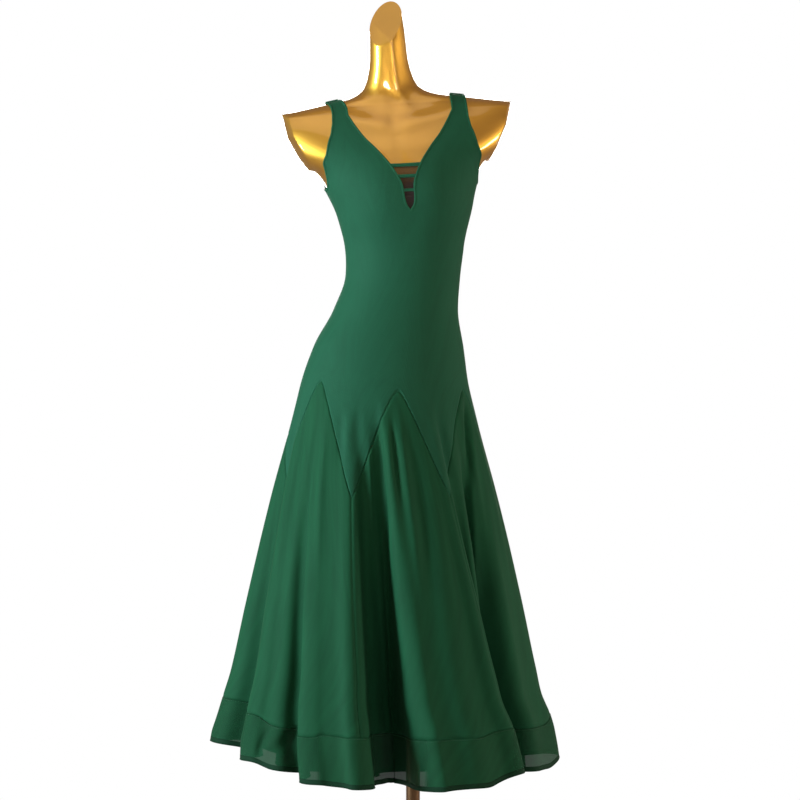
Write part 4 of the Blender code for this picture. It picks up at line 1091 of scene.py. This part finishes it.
class DANCEDRESS_OT_trims(bpy.types.Operator):
    """Builds the neck and armhole bindings, their stitches and the folded strap tops"""

    bl_idname = "dance_dress.trims"
    bl_label = "Bindings"

    def execute(self, context):
        sizes = context.scene.dance_dress_sizes
        cloth_finish, thread = finish_of("binding_jersey"), finish_of("thread_green")
        for word, front in (("front", True), ("back", False)):
            lines = [("neck_", word, whole_neck(front))]
            for hand, side in (("right", -1), ("left", 1)):
                edge = bodice_edge(side, front, "armhole")
                lines.append(("armhole_", word + "_" + hand, [part[::-side] for part in edge]))
            for edge, place, (points, out, within) in lines:
                section_grid = swept(points, within, out, BINDING_SECTION)
                add_piece(edge + "binding_cloth_" + place, laid_grid(section_grid), cloth_finish,
                          [edge + "binding_" + place], FOLD_SHELL)
            for edge, place, (points, out, within) in lines:
                sewn = points + within * SEWN_IN + out * SEWN_OUT
                stitch_row(edge + "stitches_" + place, sewn, out, sizes.stitch_length * 1.3,
                           sizes.stitch_length * 0.9, sizes.thread, thread)
        for hand, side in (("right", -1), ("left", 1)):
            x = np.linspace(STRAP_INNER + STRAP_GAP, STRAP_OUTER - STRAP_GAP, 25)
            z = shoulder_height(x, np.full_like(x, 89.9), True)
            angle = np.full_like(x, 90.0 * side)
            ridge, up = cloth(angle, z, CLOTH_OUT + STRAP_FOLD_OUT), facing(angle, z)
            roll = ring_mesh(ridge, np.cross(along(ridge), up), up, round_profile(*STRAP_FOLD, 14))
            add_piece("strap_fold_" + hand, roll, cloth_finish)
        return {"FINISHED"}


def neck_reach(z):
    """Half the width of the neck opening at some heights."""
    return np.interp(z, FRONT_EDGES[:, 1], FRONT_EDGES[:, 0])


class DANCEDRESS_OT_ladder(bpy.types.Operator):
    """Builds the ladder bands and the dark mesh inset of the neck opening, its darkness partly
    painted shade
    """

    bl_idname = "dance_dress.ladder"
    bl_label = "Neck ladder"

    def execute(self, context):
        for number, (height, width) in enumerate(LADDER, 1):
            reach = neck_reach(height) + LADDER_TUCK
            x = np.linspace(-reach, reach, 33)
            z = np.full_like(x, height)
            angle = np.copysign(angle_of(np.abs(x), z, True), x)
            middle = cloth(angle, z, CLOTH_OUT - LADDER_HALF_THICKNESS)
            up, out = np.tile((0.0, 0.0, 1.0), (len(x), 1)), facing(angle, z)
            waist = 1.0 - LADDER_WAIST * np.cos(x / reach * math.pi / 2.0)[:, None]
            section_ring = round_profile(width / 2.0, LADDER_HALF_THICKNESS, 16)
            band = ring_mesh(middle, up * waist, out, section_ring)
            add_piece("ladder_cloth_" + str(number), band, finish_of("binding_jersey"),
                      ["ladder_band_" + str(number)])
        z = np.linspace(INSET_LOW, INSET_HIGH, 25)[:, None]
        reach = neck_reach(z) + INSET_TUCK
        x = np.linspace(-1.0, 1.0, 25)[None] * np.maximum(INSET_HALF_WIDTH, reach)
        z = np.broadcast_to(z, x.shape)
        angle = np.copysign(angle_of(np.abs(x), z, True), x)
        net = laid_grid(cloth(angle, z, INSET_OUT))
        obj = add_piece("inset_net", net, finish_of("net_with_painted_shade"), ["keyhole_inset"],
                        INSET_SHELL)
        return {"FINISHED"}


class DANCEDRESS_OT_stand(bpy.types.Operator):
    """Builds the pole and the round base"""

    bl_idname = "dance_dress.stand"
    bl_label = "Stand"

    def execute(self, context):
        for name, node, finish, slot, segments, edge in (
            ("pole_tube", "stand_pole", "pole_bronze", "pole", 72, 0.0006),
            ("base_plate", "stand_base", "base_steel", "base", 144, 0.0020),
        ):
            low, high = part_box(node)
            radius = (high.x - low.x) / 2.0
            bm = bmesh.new()
            bmesh.ops.create_cone(bm, cap_ends=True, segments=segments, radius1=radius,
                                  radius2=radius, depth=high.z - low.z)
            rims = [e for e in bm.edges if len({round(v.co.z, 5) for v in e.verts}) == 1]
            bmesh.ops.bevel(bm, geom=rims, offset=edge, segments=4, profile=0.5, affect="EDGES",
                            material=-1)
            bmesh.ops.translate(bm, vec=(low + high) / 2.0, verts=bm.verts)
            add_piece(name, mesh_of(bm, name), finish_of(finish), [node], sharp=50)
        return {"FINISHED"}


def place_facing(obj, place, direction):
    """Puts a light or the camera in the scene, looking in a direction."""
    obj.location = place
    obj.rotation_euler = direction.to_track_quat("-Z", "Y").to_euler()
    bpy.context.scene.collection.objects.link(obj)


class DANCEDRESS_OT_stage(bpy.types.Operator):
    """Builds the floor, the backdrop, the lights and the camera"""

    bl_idname = "dance_dress.stage"
    bl_label = "Stage"

    def execute(self, context):
        scene = context.scene
        scene.view_settings.view_transform = "Standard"
        bm = bmesh.new()
        bmesh.ops.create_circle(bm, cap_ends=True, segments=128, radius=FLOOR_RADIUS)
        bmesh.ops.translate(bm, vec=(0.0, 0.0, -0.0005), verts=bm.verts)
        mesh = mesh_of(bm, "stage_floor")
        paint, tree, shader = new_finish(
            "matt_floor_paint_and_glow", Roughness=0.9, Emission_Color=WHITE,
            Base_Color=(*scene.dance_dress_colours.stage, 1.0))
        position = add_node(tree, "ShaderNodeTexCoord").outputs["Object"]
        reach = add_node(tree, "ShaderNodeVectorMath", {0: position}, operation="LENGTH")
        # The floor glows, ever brighter outwards, so that it runs into the white backdrop without
        # an edge: painted light, which also falls on the dress from below.
        glow = add_node(tree, "ShaderNodeMapRange", {
            "Value": reach.outputs["Value"], "From Min": 0.35, "From Max": 0.97 * FLOOR_RADIUS,
        }, interpolation_type="SMOOTHSTEP")
        link_to(tree, shader, Emission_Strength=glow.outputs[0])
        mesh.materials.append(paint)
        floor = bpy.data.objects.new("stage_floor", mesh)
        scene.collection.objects.link(floor)
        # The studio: a white backdrop all round, and a weaker, warmer light that comes from it.
        world = bpy.data.worlds.new("studio")
        world.use_nodes = True
        tree = world.node_tree
        ambient = tree.nodes["Background"]
        ambient.inputs["Color"].default_value = AMBIENT
        ambient.inputs["Strength"].default_value = AMBIENT_STRENGTH
        backdrop = add_node(tree, "ShaderNodeBackground", {"Color": WHITE, "Strength": 1.0})
        seen = add_node(tree, "ShaderNodeLightPath").outputs["Is Camera Ray"]
        both = add_node(tree, "ShaderNodeMixShader", {
            0: seen, 1: ambient.outputs[0], 2: backdrop.outputs[0]})
        tree.links.new(both.outputs[0], tree.nodes["World Output"].inputs["Surface"])
        scene.world = world
        for name, place, aim, width, height, watts, spread, colour in LIGHTS:
            lamp = bpy.data.lights.new(name, "AREA")
            lamp.shape, lamp.size, lamp.size_y, lamp.energy = "RECTANGLE", width, height, watts
            lamp.color, lamp.spread = colour, math.radians(spread)
            obj = bpy.data.objects.new(name, lamp)
            obj.visible_camera = False
            place_facing(obj, Vector(place), Vector(aim) - Vector(place))
        camera = bpy.data.cameras.new("camera")
        camera.lens, camera.sensor_width = LENS, SENSOR
        azimuth = math.radians(CAMERA_AZIMUTH)
        back = Vector((math.sin(azimuth), -math.cos(azimuth), 0.0))
        obj = bpy.data.objects.new("camera", camera)
        place_facing(obj, Vector(CAMERA_TARGET) + back * CAMERA_DISTANCE, -back)
        scene.camera = obj
        return {"FINISHED"}


class DANCEDRESS_PT_panel(bpy.types.Panel):
    """Lists the pieces of the dress and their settings"""

    bl_idname = "DANCEDRESS_PT_panel"
    bl_label = "Dance Dress"
    bl_space_type = "VIEW_3D"
    bl_region_type = "UI"
    bl_category = "Dance Dress"

    def draw(self, context):
        scene = context.scene
        for group in (scene.dance_dress_sizes, scene.dance_dress_colours):
            for name in group.__annotations__:
                self.layout.prop(group, name)
        for operator in OPERATORS:
            self.layout.operator(operator.bl_idname)


OPERATORS = (
    DANCEDRESS_OT_stage, DANCEDRESS_OT_torso, DANCEDRESS_OT_trims, DANCEDRESS_OT_ladder,
    DANCEDRESS_OT_bodice, DANCEDRESS_OT_skirt, DANCEDRESS_OT_hem, DANCEDRESS_OT_stand,
)
CLASSES = (DanceDressSizes, DanceDressColours, *OPERATORS, DANCEDRESS_PT_panel)


def register():
    for cls in CLASSES:
        bpy.utils.register_class(cls)
    bpy.types.Scene.dance_dress_sizes = PointerProperty(type=DanceDressSizes)
    bpy.types.Scene.dance_dress_colours = PointerProperty(type=DanceDressColours)


def unregister():
    del bpy.types.Scene.dance_dress_colours
    del bpy.types.Scene.dance_dress_sizes
    for cls in reversed(CLASSES):
        bpy.utils.unregister_class(cls)


def main():
    register()
    bpy.ops.dance_dress.stage()
    bpy.ops.dance_dress.torso()
    bpy.ops.dance_dress.trims()
    bpy.ops.dance_dress.ladder()
    bpy.ops.dance_dress.bodice()
    bpy.ops.dance_dress.skirt()
    bpy.ops.dance_dress.hem()
    bpy.ops.dance_dress.stand()


if __name__ == "__main__":
    main()
